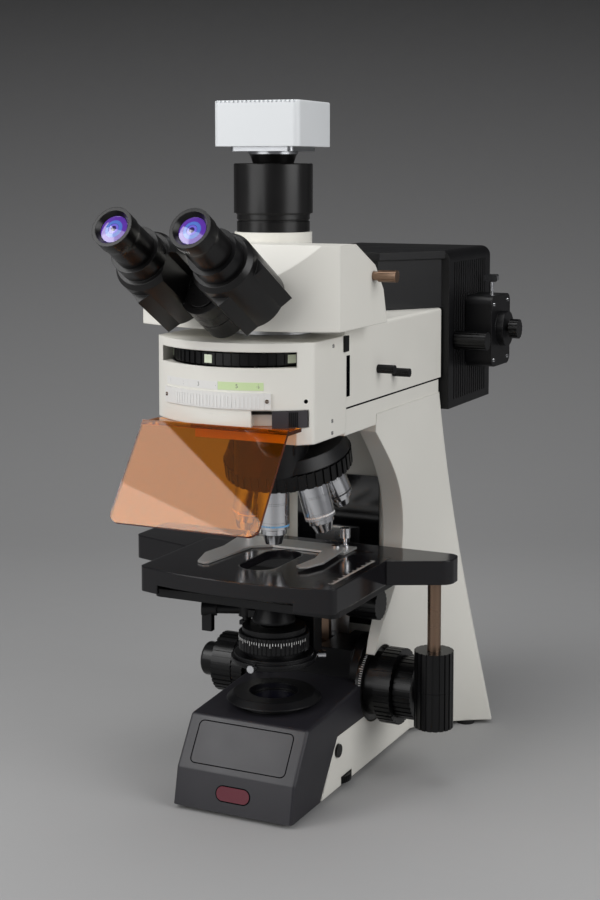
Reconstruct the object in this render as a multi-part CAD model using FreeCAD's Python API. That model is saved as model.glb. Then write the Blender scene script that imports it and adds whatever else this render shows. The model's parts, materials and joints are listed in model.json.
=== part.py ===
import FreeCAD, Part
import math
import os

# Upright fluorescence microscope with a trinocular head, lamp house and camera.
# Millimetres. x runs to the user's right, y to the rear and z up from the bench.
# Everything is built with the optical axis on x = 0, y = 0 and moved by AXIS_X and AXIS_Y at the
# end, so that the origin of the finished part is below the middle of its outline.

AXIS_X = 7.2
AXIS_Y = -67.5
RUN = 0.3            # running gap between faces that move past each other
FIT = 0.08           # radial play of a shaft in its bore
SEAM = 0.2           # gap at the seam of two covers

# Base
BASE_HALF = 58.3
BASE_FRONT = -84
BASE_KNEE_Y = -77
BASE_KNEE_Z = 36
BASE_BROW_Y = -50
BASE_BROW_Z = 77
BASE_TOP_Z = 85
BASE_TOP_REAR = 75
BASE_FLOOR = 4
COVER_WALL = 3
COVER_HEM_Z = 52
COVER_HEM_Y = 4
COVER_TOE_Y = -23
PLATE_THICK = 2
FOOT_RADIUS = 9
LAMP_TUNNEL = 27
FIELD_RING_RADIUS = 43
FIELD_RING_NECK = 37
FIELD_RING_TOP = 90
FIELD_BORE = 22.5
FIELD_BORE_DEPTH = 6
BUTTON_Y = 11.5
BUTTON_Z = 39
BUTTON_RADIUS = 6
WHEEL_Y = 31
WHEEL_RADIUS = 18
WHEEL_PROUD = 3.5
WHEEL_THICK = 6

# Stand
FOOT_HALF = 123
FOOT_REAR = 262
FOOT_FLARE_Y = 182
SHOULDER_Z = 340
SHOULDER_HALF = 74
ARM_HALF = 73
ARM_BOTTOM = 330
ARM_TOP = 353.8
ARM_FRONT = -8
ARM_REAR = 227
PANEL_FRONT = 62
COLUMN_FACE = 141
POCKET_HALF = 56
PLATE_HALF = 43.5
PLATE_TOP = 266
PANEL_PLATE = 2
CAST_WALL = 7

# Focus drive
FOCUS_Y = 98
FOCUS_Z = 77
PINION_PITCH = 6.4
PINION_TEETH = 16
TOOTH_PLAY = 0.35
COARSE_SHAFT = 5
FINE_SHAFT = 2.8
COARSE_RADIUS = 29
FINE_RADIUS = 16.5
COARSE_END = 104.5
COARSE_RIGHT = 87.2
COARSE_LEFT = 83
FINE_RIGHT = 109.2
FINE_LEFT = 123.5
FLANGE_X = 52
FLANGE_WIDTH = 6
FLANGE_RADIUS = 35
RING_X = 70.5
TENSION_END = 86.4
LOCK_END = 82
RING_RADIUS = 35.5
GUIDE_HALF = 18
GUIDE_NECK = 12
GUIDE_DEPTH = 14
CARRIAGE_HALF = 32
CARRIAGE_BOTTOM = 136
CARRIAGE_TOP = 186
CARRIAGE_FRONT = 112

# Stage
STAGE_HALF = 95
STAGE_TOP = 212
STAGE_THICK = 8
STAGE_FRONT = -76
STAGE_BOW = 14
STAGE_SKIRT = 3
STAGE_HEM = 198
STAGE_LEG_Z = 190
WING_FRONT = 47
WING_REAR = 87
WING_LEFT = 162
WING_LEFT_Y = 28
WING_LEFT_ROOT = 8
WING_RIGHT = 147.6
WING_RIGHT_Y = 60
WING_RIGHT_ROOT = 34
WING_WALL = 3
SLOT_WIDTH = 36
SLOT_FRONT = -46
SLOT_REAR = 34
FRAME_TOP = 189.5
FRAME_THICK = 7.5
FRAME_HALF = 90
FRAME_FRONT = -62
FRAME_REAR = 98
FRAME_HOLE = 64
RAIL_X = 69.5
RAIL_WIDTH = 7
RAIL_TOP = 197.5
DRIVE_X = 128
DRIVE_Y = 70
DRIVE_RADIUS = 6.15
DRIVE_KNOB = 18
UPPER_KNOB_TOP = 125
LOWER_KNOB_TOP = 88.6
LOWER_KNOB_END = 54
HOLDER_X = -6
HOLDER_SPAN = 100
HOLDER_Y = 59
HOLDER_THICK = 2

# Condenser
COND_CARRIER_Z = 118
COND_CARRIER_TOP = 133
COND_RING_Z = 136
COND_RING_TOP = 151
COND_RING_RADIUS = 32
COND_CONE_Z = 155
COND_CONE_TOP = 172
COND_CONE_RADIUS = 19.5
COND_LENS_RADIUS = 14
COND_KNOB_Z = 162
COND_KNOB_Y = 66
COND_KNOB_RADIUS = 14
COND_KNOB_X = 46
COND_KNOB_END = 77
BRACKET_HALF = 38

# Nosepiece and objectives
NOSE_TILT = 15
OBJECTIVE_SEAT = 277
OBJECTIVE_PITCH = 34
OBJECTIVE_RADIUS = 14
OBJECTIVE_LENGTHS = (51, 46, 40, 51, 51)
PORT_COUNT = 6
PORT_RADIUS = 12.5
GRIP_RADIUS = 58.5
GRIP_HEIGHT = 20
NOSE_PLATE = 9

# Illuminator
HOUSING_HALF = 75
HOUSING_BOTTOM = 333
HOUSING_TOP = 418.5
HOUSING_REAR = -9
HOUSING_SIDE_Y = -74
HOUSING_BOW = 34
HOUSING_WALL = 4
TURRET_Y = -37.5
TURRET_RADIUS = 70
WHEEL_Z = 399.5
WHEEL_TOP = 409.5
CUBE_BOTTOM = 362
CUBE_SIZE = 25
TUBE_HALF = 73
TUBE_TOP = 424
TUBE_REAR = 227
EPI_Z = 381
EPI_BORE = 24
IRIS_STEM = 2
FIELD_IRIS_Y = 66
SHUTTER_Z = 348
SHUTTER_HEIGHT = 14
SHUTTER_FROM = 28
SHUTTER_TO = 45
SHUTTER_TRAVEL = 9
SHUTTER_DEPTH = 8.6
SHUTTER_PROUD = 1.6
STRIP_LEFT = -70
STRIP_RIGHT = 17
STRIP_BOTTOM = 355
STRIP_TOP = 378
APERTURE_IRIS_Y = 102
SHIELD_Z = 345
SHIELD_THICK = 3
SHIELD_HALF = 69
SHIELD_REAR = -86
SHIELD_FOLD = -111
SHIELD_TIP = -168
SHIELD_TIP_Z = 271

# Head
HEAD_HALF = 95
HEAD_FRONT = -66
HEAD_BOW = 23
HEAD_REAR = 34
HEAD_BOTTOM = 427
HEAD_TOP = 499
HEAD_RING = 42
NECK_TOP = 507
EYE_TILT = 30
EYE_SPACING = 70
EYE_SWING = 36
EYE_ORIGIN_Y = -94
EYE_ORIGIN_Z = 450
EYE_LENS = 135
BLOCK_BOTTOM = 12
BLOCK_TOP = 76
BLOCK_RADIUS = 27
HUB_RADIUS = 19
HUB_PIN = 13
HUB_THICK = 12
ROD_Y = 4
ROD_Z = 470
SPLITTER_HALF = 12

# Phototube and camera
COLLAR_RADIUS = 32.3
COLLAR_HEIGHT = 15.5
COLLAR_TOP = NECK_TOP + COLLAR_HEIGHT
PHOTO_RADIUS = 35
PHOTO_LENGTH = 44.5
PHOTO_TOP = COLLAR_TOP + PHOTO_LENGTH
CONE_HEIGHT = 8
CONE_TOP = PHOTO_TOP + CONE_HEIGHT
MOUNT_RADIUS = 22
CAMERA_FOOT = 59
CAMERA_FOOT_THICK = 4
MOUNT_HEIGHT = 2.5
CAMERA_FOOT_TOP = CONE_TOP + MOUNT_HEIGHT + CAMERA_FOOT_THICK
CAMERA_SIDE = 80
CAMERA_HEIGHT = 39.5
CAMERA_TOP = CAMERA_FOOT_TOP + CAMERA_HEIGHT
CAMERA_WALL = 3
CAMERA_TURN = 4

# Lamp house
LAMP_HALF = 80
LAMP_FRONT = 230.5
LAMP_REAR = 353
LAMP_BOTTOM = 322
LAMP_TOP = 481
LAMP_WALL = 3
LAMP_NECK_HALF = 30
LAMP_NECK_FRONT = 166
LAMP_RIB_PITCH = 6.5
COLLECTOR_Y = 250
COLLECTOR_Z = 390
SOCKET_DEPTH = 28
SOCKET_FRONT = 279
SOCKET_REAR = 337
SOCKET_BOTTOM = 360
SOCKET_TOP = 433

V = FreeCAD.Vector
X = V(1, 0, 0)
Y = V(0, 1, 0)
Z = V(0, 0, 1)
NODES = {}


def keep(name, *solids):
    """Files solids under a node's name, with every piece as a solid of its own."""
    for solid in solids:
        NODES.setdefault(name, []).extend(solid.Solids)


def block(x0, x1, y0, y1, z0, z1):
    return Part.makeBox(x1 - x0, y1 - y0, z1 - z0, V(x0, y0, z0))


def rod(radius, start, end):
    """Round bar between two points."""
    return Part.makeCylinder(radius, (end - start).Length, start, end - start)


def tube(outer, inner, start, end):
    return rod(outer, start, end).cut(rod(inner, start, end))


def cone(r_start, r_end, start, end):
    return Part.makeCone(r_start, r_end, (end - start).Length, start, end - start)


def upright(radius, z0, z1, x=0, y=0):
    return rod(radius, V(x, y, z0), V(x, y, z1))


def across(radius, x0, x1, y, z):
    return rod(radius, V(x0, y, z), V(x1, y, z))


def join(first, *others):
    return first.fuse(list(others)).removeSplitter()


def outline(points):
    return Part.Face(Part.makePolygon(list(points) + [points[0]]))


def slab(points, z0, z1):
    """Flat shape from (x, y) corners."""
    return outline([V(x, y, z0) for x, y in points]).extrude(Z * (z1 - z0))


def profile(points, x0, x1):
    """Bar along x from a side view's (y, z) corners."""
    return outline([V(x0, y, z) for y, z in points]).extrude(X * (x1 - x0))


def turned(points, base=V(0, 0, 0), axis=Z):
    """Solid of revolution from (radius, height) corners about an axis through base."""
    solid = outline([V(r, 0, h) for r, h in points]).revolve(V(0, 0, 0), Z, 360)
    solid.Placement = FreeCAD.Placement(base, FreeCAD.Rotation(Z, axis))
    return solid


def edges_along(solid, axis, test=lambda c: True):
    """Straight edges parallel to an axis whose middle passes the test."""
    chosen = []
    for edge in solid.Edges:
        a, b = edge.Vertexes[0].Point, edge.Vertexes[-1].Point
        straight = abs((b - a).Length - edge.Length) < 1e-6 and edge.Length > 1e-6
        if straight and abs(abs((b - a).normalize().dot(axis)) - 1) < 1e-4 and test((a + b) * 0.5):
            chosen.append(edge)
    return chosen


def soften(solid, radius, axis, test=lambda c: True):
    return solid.makeFillet(radius, edges_along(solid, axis, test))


def grip(radius, depth, width, count, start, end):
    """Round knob with grooves along its rim, for fingers."""
    body = rod(radius, start, end)
    axis = (end - start).normalize()
    side = X if abs(axis.x) < 0.5 else Y
    cutters = []
    for i in range(count):
        out = FreeCAD.Rotation(axis, 360 * i / count).multVec(side)
        across_groove = axis.cross(out)
        corner = start + out * (radius - depth) - across_groove * (width / 2)
        face = outline([corner, corner + out * depth * 2, corner + out * depth * 2 + across_groove * width,
                        corner + across_groove * width])
        cutters.append(face.extrude(end - start))
    return body.cut(cutters)


def bow_front(half, side_y, bow, rear_y, z0, z1):
    """Flat-backed plan with a bowed front edge between two square sides."""
    arc = Part.Arc(V(-half, side_y, z0), V(0, side_y - bow, z0), V(half, side_y, z0)).toShape()
    back = Part.makePolygon([V(half, side_y, z0), V(half, rear_y, z0), V(-half, rear_y, z0), V(-half, side_y, z0)])
    return Part.Face(Part.Wire([arc] + back.Edges)).extrude(Z * (z1 - z0))


def base_profile(inset, rear, foot):
    """Side view of the base's front and top, drawn in by a wall thickness."""
    return [(BASE_FRONT + inset, foot), (BASE_KNEE_Y + inset, BASE_KNEE_Z - inset * 0.2),
            (BASE_BROW_Y + inset * 0.6, BASE_BROW_Z - inset), (rear, BASE_TOP_Z - inset), (rear, foot)]


def hem_profile(gap):
    """Side view of the stretch that the base cover leaves bare."""
    return [(COVER_TOE_Y + gap, BASE_FLOOR), (COVER_HEM_Y + gap, COVER_HEM_Z - gap - 9),
            (COVER_HEM_Y + gap + 7, COVER_HEM_Z - gap), (BASE_TOP_REAR + 200, COVER_HEM_Z - gap),
            (BASE_TOP_REAR + 200, BASE_FLOOR)]


def base():
    """Black cover, steel bottom, rubber feet and the lamp train under the field lens."""
    outer = profile(base_profile(0, BASE_TOP_REAR, BASE_FLOOR), -BASE_HALF, BASE_HALF)
    outer = soften(outer, 5, X, lambda c: c.z > BASE_KNEE_Z - 1 and c.y < 0)
    inner = profile(base_profile(COVER_WALL, BASE_TOP_REAR, BASE_FLOOR), -BASE_HALF + COVER_WALL,
                    BASE_HALF - COVER_WALL)
    cover = outer.cut([inner, profile(hem_profile(0), -BASE_HALF, BASE_HALF)])
    cover = cover.cut([upright(FIELD_RING_NECK - 4, 0, 2 * BASE_TOP_Z)] + knob_rooms())
    window_mid = V(0, (BASE_FRONT + BASE_KNEE_Y) / 2, BASE_KNEE_Z / 2 + 2)
    pill = block(-16, 16, window_mid.y - 8, window_mid.y + 8, window_mid.z - 6, window_mid.z + 6)
    pill = soften(pill, 5.9, Y)
    keep("base_cover", cover.cut(pill))
    keep("base_cover", pill.common(outer).cut(inner))

    plate = slab([(-BASE_HALF + 5, BASE_FRONT + 8), (BASE_HALF - 5, BASE_FRONT + 8), (BASE_HALF - 5, 150),
                  (-BASE_HALF + 5, 150)], BASE_FLOOR - PLATE_THICK, BASE_FLOOR)
    keep("bottom_plate_and_feet", plate)
    feet = [upright(FOOT_RADIUS, 0, BASE_FLOOR - PLATE_THICK, x, -62) for x in (-40, 40)]
    feet += [upright(FOOT_RADIUS, 0, BASE_FLOOR, x, 240) for x in (-98, 98)]
    keep("bottom_plate_and_feet", *feet)

    seat = BASE_TOP_Z - 4
    ring = turned([(FIELD_BORE, FIELD_RING_TOP), (FIELD_BORE, FIELD_RING_TOP - FIELD_BORE_DEPTH),
                   (FIELD_BORE - 3, FIELD_RING_TOP - FIELD_BORE_DEPTH), (FIELD_BORE - 3, seat - 8),
                   (FIELD_RING_NECK - 5, seat - 8), (FIELD_RING_NECK - 5, seat + 3), (FIELD_RING_RADIUS, seat + 3),
                   (FIELD_RING_RADIUS, seat + 4), (FIELD_RING_NECK, FIELD_RING_TOP)])
    slope = profile([(-60, 0), (-60, 76.5), (60, 84.6), (60, 0)], -60, 60)
    ring = ring.cut(slope.cut(upright(FIELD_RING_NECK - 5, 0, 100)))
    keep("field_lens_ring", ring)
    lens_seat = seat - 8
    keep("field_lens_ring", upright(FIELD_BORE - 3 - FIT, lens_seat + 1, lens_seat + 6).common(
        Part.makeSphere(45, V(0, 0, lens_seat + 6 - 45))))


def stand():
    """White frame: base body, T foot, flared column and arm in one casting."""
    bare = profile(hem_profile(SEAM), -BASE_HALF, BASE_HALF)
    bare = bare.common(block(-200, 200, -200, FOOT_FLARE_Y + 20, 0, 100))
    gap = COVER_WALL + SEAM
    core = profile(base_profile(gap, COLUMN_FACE + 40, BASE_FLOOR), -BASE_HALF + gap, BASE_HALF - gap)
    frame = join(bare, core)

    sections, inner_sections = [], []
    for z, front_x, waist_x, waist_y, rear_x, rear_y, corner in (
            (BASE_FLOOR, BASE_HALF, 64, 196, FOOT_HALF, FOOT_REAR, 16),
            (60, 62, 68, 180, 113, FOOT_REAR - 5, 16),
            (140, 70, 76, 165, 99, FOOT_REAR - 14, 14),
            (220, 73, 80, 160, 87, FOOT_REAR - 23, 12),
            (SHOULDER_Z, SHOULDER_HALF, SHOULDER_HALF, 150, SHOULDER_HALF, ARM_REAR, 8)):
        sections.append(column_section(z, front_x, waist_x, waist_y, rear_x, rear_y, corner))
        inner_sections.append(column_section(z, front_x - CAST_WALL, waist_x - CAST_WALL, waist_y, rear_x - CAST_WALL,
                                             rear_y - CAST_WALL, corner / 2))
    column = Part.makeLoft(sections, True, False)
    hollow = Part.makeLoft(inner_sections, True, False)
    hollow = hollow.common(block(-200, 200, COLUMN_FACE + CAST_WALL, 400, BASE_FLOOR + CAST_WALL, SHOULDER_Z - 22))
    sweep = Part.BSplineCurve()
    sweep.interpolate([V(-130, y, z) for y, z in ((52, 332), (86, 300), (112, 262), (120, 215), (110, 165),
                                                  (88, 128), (78, 96))])
    bay = Part.Wire([sweep.toShape()] + Part.makePolygon([V(-130, 78, 96), V(-130, 78, -20), V(-130, -40, -20),
                                                          V(-130, -40, 332), V(-130, 52, 332)]).Edges)
    column = column.cut(Part.Face(bay).extrude(X * 260))
    column = column.cut(block(-POCKET_HALF, POCKET_HALF, 0, COLUMN_FACE, BASE_TOP_Z - 8, ARM_BOTTOM))
    arm = block(-ARM_HALF, ARM_HALF, ARM_FRONT, ARM_REAR, ARM_BOTTOM, ARM_TOP)
    arm = soften(arm, 8, Z, lambda c: c.y > 100)
    frame = join(frame, column, arm)
    keep("stand_frame", frame.cut(stand_cavities() + [hollow]))

    plate = block(-PLATE_HALF, PLATE_HALF, COLUMN_FACE - PANEL_PLATE, COLUMN_FACE, BASE_TOP_Z + 34, PLATE_TOP)
    guide_foot = block(-GUIDE_NECK - 1, GUIDE_NECK + 1, COLUMN_FACE - 5, COLUMN_FACE + 5, 0, 214)
    keep("column_plate", plate.cut(guide_foot))


def column_section(z, front_x, waist_x, waist_y, rear_x, rear_y, corner):
    """Plan of the column at one height: narrow in front, flared and rounded behind."""
    side = Part.BSplineCurve()
    side.interpolate([V(front_x, PANEL_FRONT, z), V(waist_x, waist_y, z), V(rear_x, rear_y - corner, z)])
    bend = Part.Arc(V(rear_x, rear_y - corner, z), V(rear_x - corner * 0.3, rear_y - corner * 0.3, z),
                    V(rear_x - corner, rear_y, z))
    right = [side.toShape(), bend.toShape()]
    left = [edge.mirror(V(0, 0, 0), X) for edge in right]
    back = Part.makeLine(V(rear_x - corner, rear_y, z), V(-rear_x + corner, rear_y, z))
    front = Part.makeLine(V(-front_x, PANEL_FRONT, z), V(front_x, PANEL_FRONT, z))
    return Part.Wire(Part.__sortEdges__(right + [back] + left + [front]))


def stand_cavities():
    """Lamp tunnel, focus bores, rack well and openings that the frame is cored with."""
    tunnel = block(-LAMP_TUNNEL, LAMP_TUNNEL, -40, 56, BASE_FLOOR, 62)
    chimney = upright(FIELD_RING_NECK - 5 + SEAM, 40, 120)
    shafts = across(COARSE_SHAFT + 3, -60, 60, FOCUS_Y, FOCUS_Z)
    well = block(-9, 9, FOCUS_Y - 9, FOCUS_Y + 15, 26, 120)
    bench = block(-PLATE_HALF - SEAM, PLATE_HALF + SEAM, BASE_TOP_REAR, COLUMN_FACE, BASE_TOP_Z - COVER_WALL, 120)
    dial = upright(WHEEL_RADIUS + 0.6, BASE_FLOOR, BASE_FLOOR + WHEEL_THICK + 1.6,
                   BASE_HALF + WHEEL_PROUD - WHEEL_RADIUS, WHEEL_Y)
    button = across(BUTTON_RADIUS + RUN, BASE_HALF - 12, BASE_HALF + 5, BUTTON_Y, BUTTON_Z)
    return [tunnel, chimney, shafts, well, bench, dial, button] + knob_rooms()


def knob_rooms():
    """Room round the scale flanges on both sides of the stand."""
    inner, radius = FLANGE_X - SEAM, FLANGE_RADIUS + 1.5
    return [across(radius, inner, inner + 88, FOCUS_Y, FOCUS_Z), across(radius, -inner - 88, -inner, FOCUS_Y, FOCUS_Z)]


def lamp_train():
    """LED module, mirror and its block that send light up through the field lens."""
    floor = BASE_FLOOR
    wedge = profile([(-24, floor), (24, floor), (24, 10), (-18, 52), (-24, 52)], -20, 20)
    glass = profile([(-18, 52), (24, 10), (26.1, 12.1), (-15.9, 54.1)], -18, 18)
    keep("base_lamp", wedge)
    keep("base_lamp", glass)
    fins = [block(-22, 22, y, y + 1.6, floor, 58) for y in (42, 46, 50, 54)]
    module = join(block(-22, 22, 36, 40, floor, 58), block(-22, 22, 40, 55.6, floor, 12), *fins)
    star = rod(10, V(0, 36, 31), V(0, 33.5, 31))
    keep("base_lamp", join(module, star))


def focus_drive():
    """Rack, pinion, coaxial shafts and knobs that raise the stage."""
    axis = (FOCUS_Y, FOCUS_Z)
    low = BASE_TOP_Z - COVER_WALL
    housing = block(-PLATE_HALF, PLATE_HALF, BASE_TOP_REAR + SEAM, COLUMN_FACE - PANEL_PLATE, low, 112)
    cheeks = []
    for side in (-1, 1):
        inner, outer = sorted((side * (PLATE_HALF - 1), side * (FLANGE_X - RUN)))
        hump = across(FLANGE_RADIUS - 1, inner, outer, FOCUS_Y + 8, FOCUS_Z + 10)
        cheeks.append(hump.common(block(-60, 60, 0, COLUMN_FACE - 8, BASE_TOP_Z, 140)))
    housing = join(housing, *cheeks)
    housing = housing.cut([block(-GUIDE_HALF - 1, GUIDE_HALF + 1, COLUMN_FACE - GUIDE_DEPTH - 1, COLUMN_FACE, 100, 130),
                           block(-9, 9, FOCUS_Y - 9, FOCUS_Y + 15, 26, 130),
                           across(COARSE_SHAFT + 3, -130, 130, *axis)])
    keep("focus_housing", housing)

    guide = slab([(-GUIDE_NECK, COLUMN_FACE), (-GUIDE_NECK, COLUMN_FACE - 3), (-GUIDE_HALF, COLUMN_FACE - GUIDE_DEPTH),
                  (GUIDE_HALF, COLUMN_FACE - GUIDE_DEPTH), (GUIDE_NECK, COLUMN_FACE - 3), (GUIDE_NECK, COLUMN_FACE)],
                 104, 212)
    keep("focus_guide", guide)
    play = RUN
    socket = slab([(-GUIDE_NECK - play, COLUMN_FACE), (-GUIDE_NECK - play, COLUMN_FACE - 3),
                   (-GUIDE_HALF - play, COLUMN_FACE - GUIDE_DEPTH - play),
                   (GUIDE_HALF + play, COLUMN_FACE - GUIDE_DEPTH - play), (GUIDE_NECK + play, COLUMN_FACE - 3),
                   (GUIDE_NECK + play, COLUMN_FACE)], 0, 300)
    carriage = block(-CARRIAGE_HALF, CARRIAGE_HALF, CARRIAGE_FRONT, COLUMN_FACE - PANEL_PLATE - 1, CARRIAGE_BOTTOM,
                     CARRIAGE_TOP)
    keep("focus_carriage", soften(carriage, 3, Z, lambda c: c.y < CARRIAGE_FRONT + 1).cut(socket))
    keep("focus_rack", rack())

    keep("focus_housing", *[tube(COARSE_SHAFT + 3, COARSE_SHAFT + FIT, V(x0, *axis), V(x1, *axis))
                           for x0, x1 in ((-49, -30), (30, 49))])
    shaft = join(rod(COARSE_SHAFT, V(-COARSE_END, *axis), V(COARSE_END, *axis)), pinion())
    keep("coarse_drive", shaft.cut(across(FINE_SHAFT + FIT, -FINE_LEFT, FINE_LEFT, *axis)))
    fine_shaft = across(FINE_SHAFT, -FINE_LEFT + 3, FINE_RIGHT - 1, *axis)
    keep("fine_drive", fine_shaft)
    for side, start, fine_end in ((1, COARSE_RIGHT, FINE_RIGHT), (-1, COARSE_LEFT, FINE_LEFT)):
        knob = grip(COARSE_RADIUS, 1.2, 1.8, 32, V(side * start, *axis), V(side * COARSE_END, *axis))
        keep("coarse_drive", knob.cut(across(COARSE_SHAFT, -COARSE_END, COARSE_END, *axis)))
        cap = rod(FINE_RADIUS, V(side * (COARSE_END + RUN), *axis), V(side * fine_end, *axis))
        cap = cap.makeFillet(3, [edge for edge in cap.Edges if abs(edge.CenterOfMass.x - side * fine_end) < 0.01])
        keep("fine_drive", cap.cut(fine_shaft))
        keep("focus_housing", tube(FLANGE_RADIUS, COARSE_SHAFT + 1, V(side * FLANGE_X, *axis),
                                   V(side * (FLANGE_X + FLANGE_WIDTH), *axis)))
    for name, side, radius, end in (("tension_ring", 1, RING_RADIUS, TENSION_END),
                                    ("focus_lock_ring", -1, COARSE_RADIUS, LOCK_END)):
        ring = grip(radius, 1, 2, 40, V(side * RING_X, *axis), V(side * end, *axis))
        neck = rod(radius - 6, V(side * (FLANGE_X + FLANGE_WIDTH + RUN), *axis), V(side * RING_X, *axis))
        keep(name, join(ring, neck).cut(across(COARSE_SHAFT + RUN, -100, 100, *axis)))


def pinion():
    """Spur pinion on the coarse shaft; its teeth taper from root to tip."""
    module = 2 * PINION_PITCH / PINION_TEETH
    root, tip = PINION_PITCH - 1.25 * module, PINION_PITCH + module - 0.1
    half_tooth = math.pi * module / 4 - TOOTH_PLAY / 2
    body = across(root, -8, 8, FOCUS_Y, FOCUS_Z)
    teeth = []
    for i in range(PINION_TEETH):
        lean = math.tan(math.radians(20)) * module
        flank = [(root - 0.2, half_tooth + lean), (tip, half_tooth - lean * 0.9), (tip, lean * 0.9 - half_tooth),
                 (root - 0.2, -half_tooth - lean)]
        tooth = outline([V(-8, FOCUS_Y + r, FOCUS_Z + t) for r, t in flank]).extrude(X * 16)
        tooth.rotate(V(0, FOCUS_Y, FOCUS_Z), X, 360 * (i + 0.5) / PINION_TEETH)
        teeth.append(tooth)
    return join(body, *teeth)


def rack():
    """Toothed bar behind the pinion, hung from the stage bracket."""
    module = 2 * PINION_PITCH / PINION_TEETH
    pitch = math.pi * module
    line = FOCUS_Y + PINION_PITCH
    half_tooth = pitch / 4 - TOOTH_PLAY / 2
    lean = math.tan(math.radians(20)) * module
    bar = block(-6, 6, line + 1.25 * module, CARRIAGE_FRONT, 56, 160)
    count = int(45 / pitch)
    teeth = []
    for i in range(-count // 2, count // 2 + 6):
        z = FOCUS_Z + i * pitch
        flank = [(line + 1.25 * module + 0.1, half_tooth + lean * 1.25), (line - module + 0.2, half_tooth - lean),
                 (line - module + 0.2, lean - half_tooth), (line + 1.25 * module + 0.1, -half_tooth - lean * 1.25)]
        teeth.append(outline([V(-6, y, z + t) for y, t in flank]).extrude(X * 12))
    return join(bar, *teeth)


def stage():
    """Bracket, fixed frame and rails, moving top with its cross slide, and the drive."""
    bracket = block(-BRACKET_HALF, BRACKET_HALF, 52, CARRIAGE_FRONT, 160, FRAME_TOP - FRAME_THICK)
    gusset = profile([(74, 160), (CARRIAGE_FRONT, 160), (CARRIAGE_FRONT, 140)], -30, -12)
    bracket = join(bracket, gusset, gusset.mirror(V(0, 0, 0), X))
    keep("focus_carriage", bracket.cut(across(4 + FIT, 24 - RUN, BRACKET_HALF + 1, COND_KNOB_Y, COND_KNOB_Z)))

    frame = block(-FRAME_HALF, FRAME_HALF, FRAME_FRONT, FRAME_REAR, FRAME_TOP - FRAME_THICK, FRAME_TOP)
    frame = soften(frame, 8, Z)
    frame = frame.cut(soften(block(-FRAME_HOLE, FRAME_HOLE, -50, 50, 0, 300), 10, Z))
    keep("stage_frame", frame)
    rails = []
    for side, front in ((-1, -74), (1, -38)):
        x = side * RAIL_X
        rails.append(block(x - RAIL_WIDTH / 2, x + RAIL_WIDTH / 2, max(front, FRAME_FRONT + 2), FRAME_REAR - 2,
                           FRAME_TOP, RAIL_TOP))
    keep("stage_frame", *rails)
    keep("stage_top", stage_plate())
    keep("x_drive_housing", wing_housing())
    cross_slide()
    stage_drive()


def stage_plate():
    top = bow_front(STAGE_HALF, STAGE_FRONT, STAGE_BOW, WING_FRONT, STAGE_LEG_Z, STAGE_TOP)
    top = soften(top, 7, Z, lambda c: c.y < 0)
    hollow = bow_front(STAGE_HALF - STAGE_SKIRT, STAGE_FRONT + STAGE_SKIRT, STAGE_BOW, WING_FRONT, STAGE_LEG_Z,
                       STAGE_TOP - STAGE_THICK)
    legs = [block(60, STAGE_HALF, -100, -66, 0, 300), block(-STAGE_HALF, -74, -100, -66, 0, 300)]
    legs = [leg.common(top).cut(hollow) for leg in legs]
    top = top.cut(hollow).cut(block(-STAGE_HALF + 5, STAGE_HALF - 5, -120, -60, 0, STAGE_HEM))
    runners = []
    for side in (-1, 1):
        x = side * RAIL_X
        runners.append(block(x - RAIL_WIDTH / 2, x + RAIL_WIDTH / 2, -58, WING_FRONT, RAIL_TOP + RUN, STAGE_TOP - 1))
    top = join(top, *legs, *runners)
    window = block(-SLOT_WIDTH / 2, SLOT_WIDTH / 2, SLOT_FRONT, SLOT_REAR, 0, 300)
    return top.cut(soften(window, SLOT_WIDTH / 2 - 0.05, Z))


def wing_housing():
    """Cross beam behind the stage plate, tapered forward at both sides of it."""
    root = STAGE_HALF + SEAM
    wing = slab([(-WING_LEFT, WING_LEFT_Y), (-root, WING_LEFT_ROOT), (-root, WING_FRONT), (root, WING_FRONT),
                 (root, WING_RIGHT_ROOT), (WING_RIGHT, WING_RIGHT_Y), (WING_RIGHT, WING_REAR), (-WING_LEFT, WING_REAR)],
                STAGE_LEG_Z, STAGE_TOP)
    wing = soften(wing, 12, Z, lambda c: c.x > root + 1)
    wing = soften(wing, 8, Z, lambda c: c.x < -root - 1)
    trough = block(-WING_LEFT + WING_WALL, DRIVE_X - 14, WING_FRONT + 7, WING_REAR - 7, STAGE_LEG_Z + WING_WALL,
                   STAGE_TOP - WING_WALL)
    slot = block(-72, 72, HOLDER_Y - 3, HOLDER_Y + 3, STAGE_TOP - 10, STAGE_TOP + 10)
    notches = [block(side * RAIL_X - 6, side * RAIL_X + 6, 0, 200, 0, RAIL_TOP + RUN) for side in (-1, 1)]
    bore = upright(DRIVE_RADIUS + FIT, 0, STAGE_TOP - 5, DRIVE_X, DRIVE_Y)
    return wing.cut([trough, slot, bore] + notches)


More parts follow.
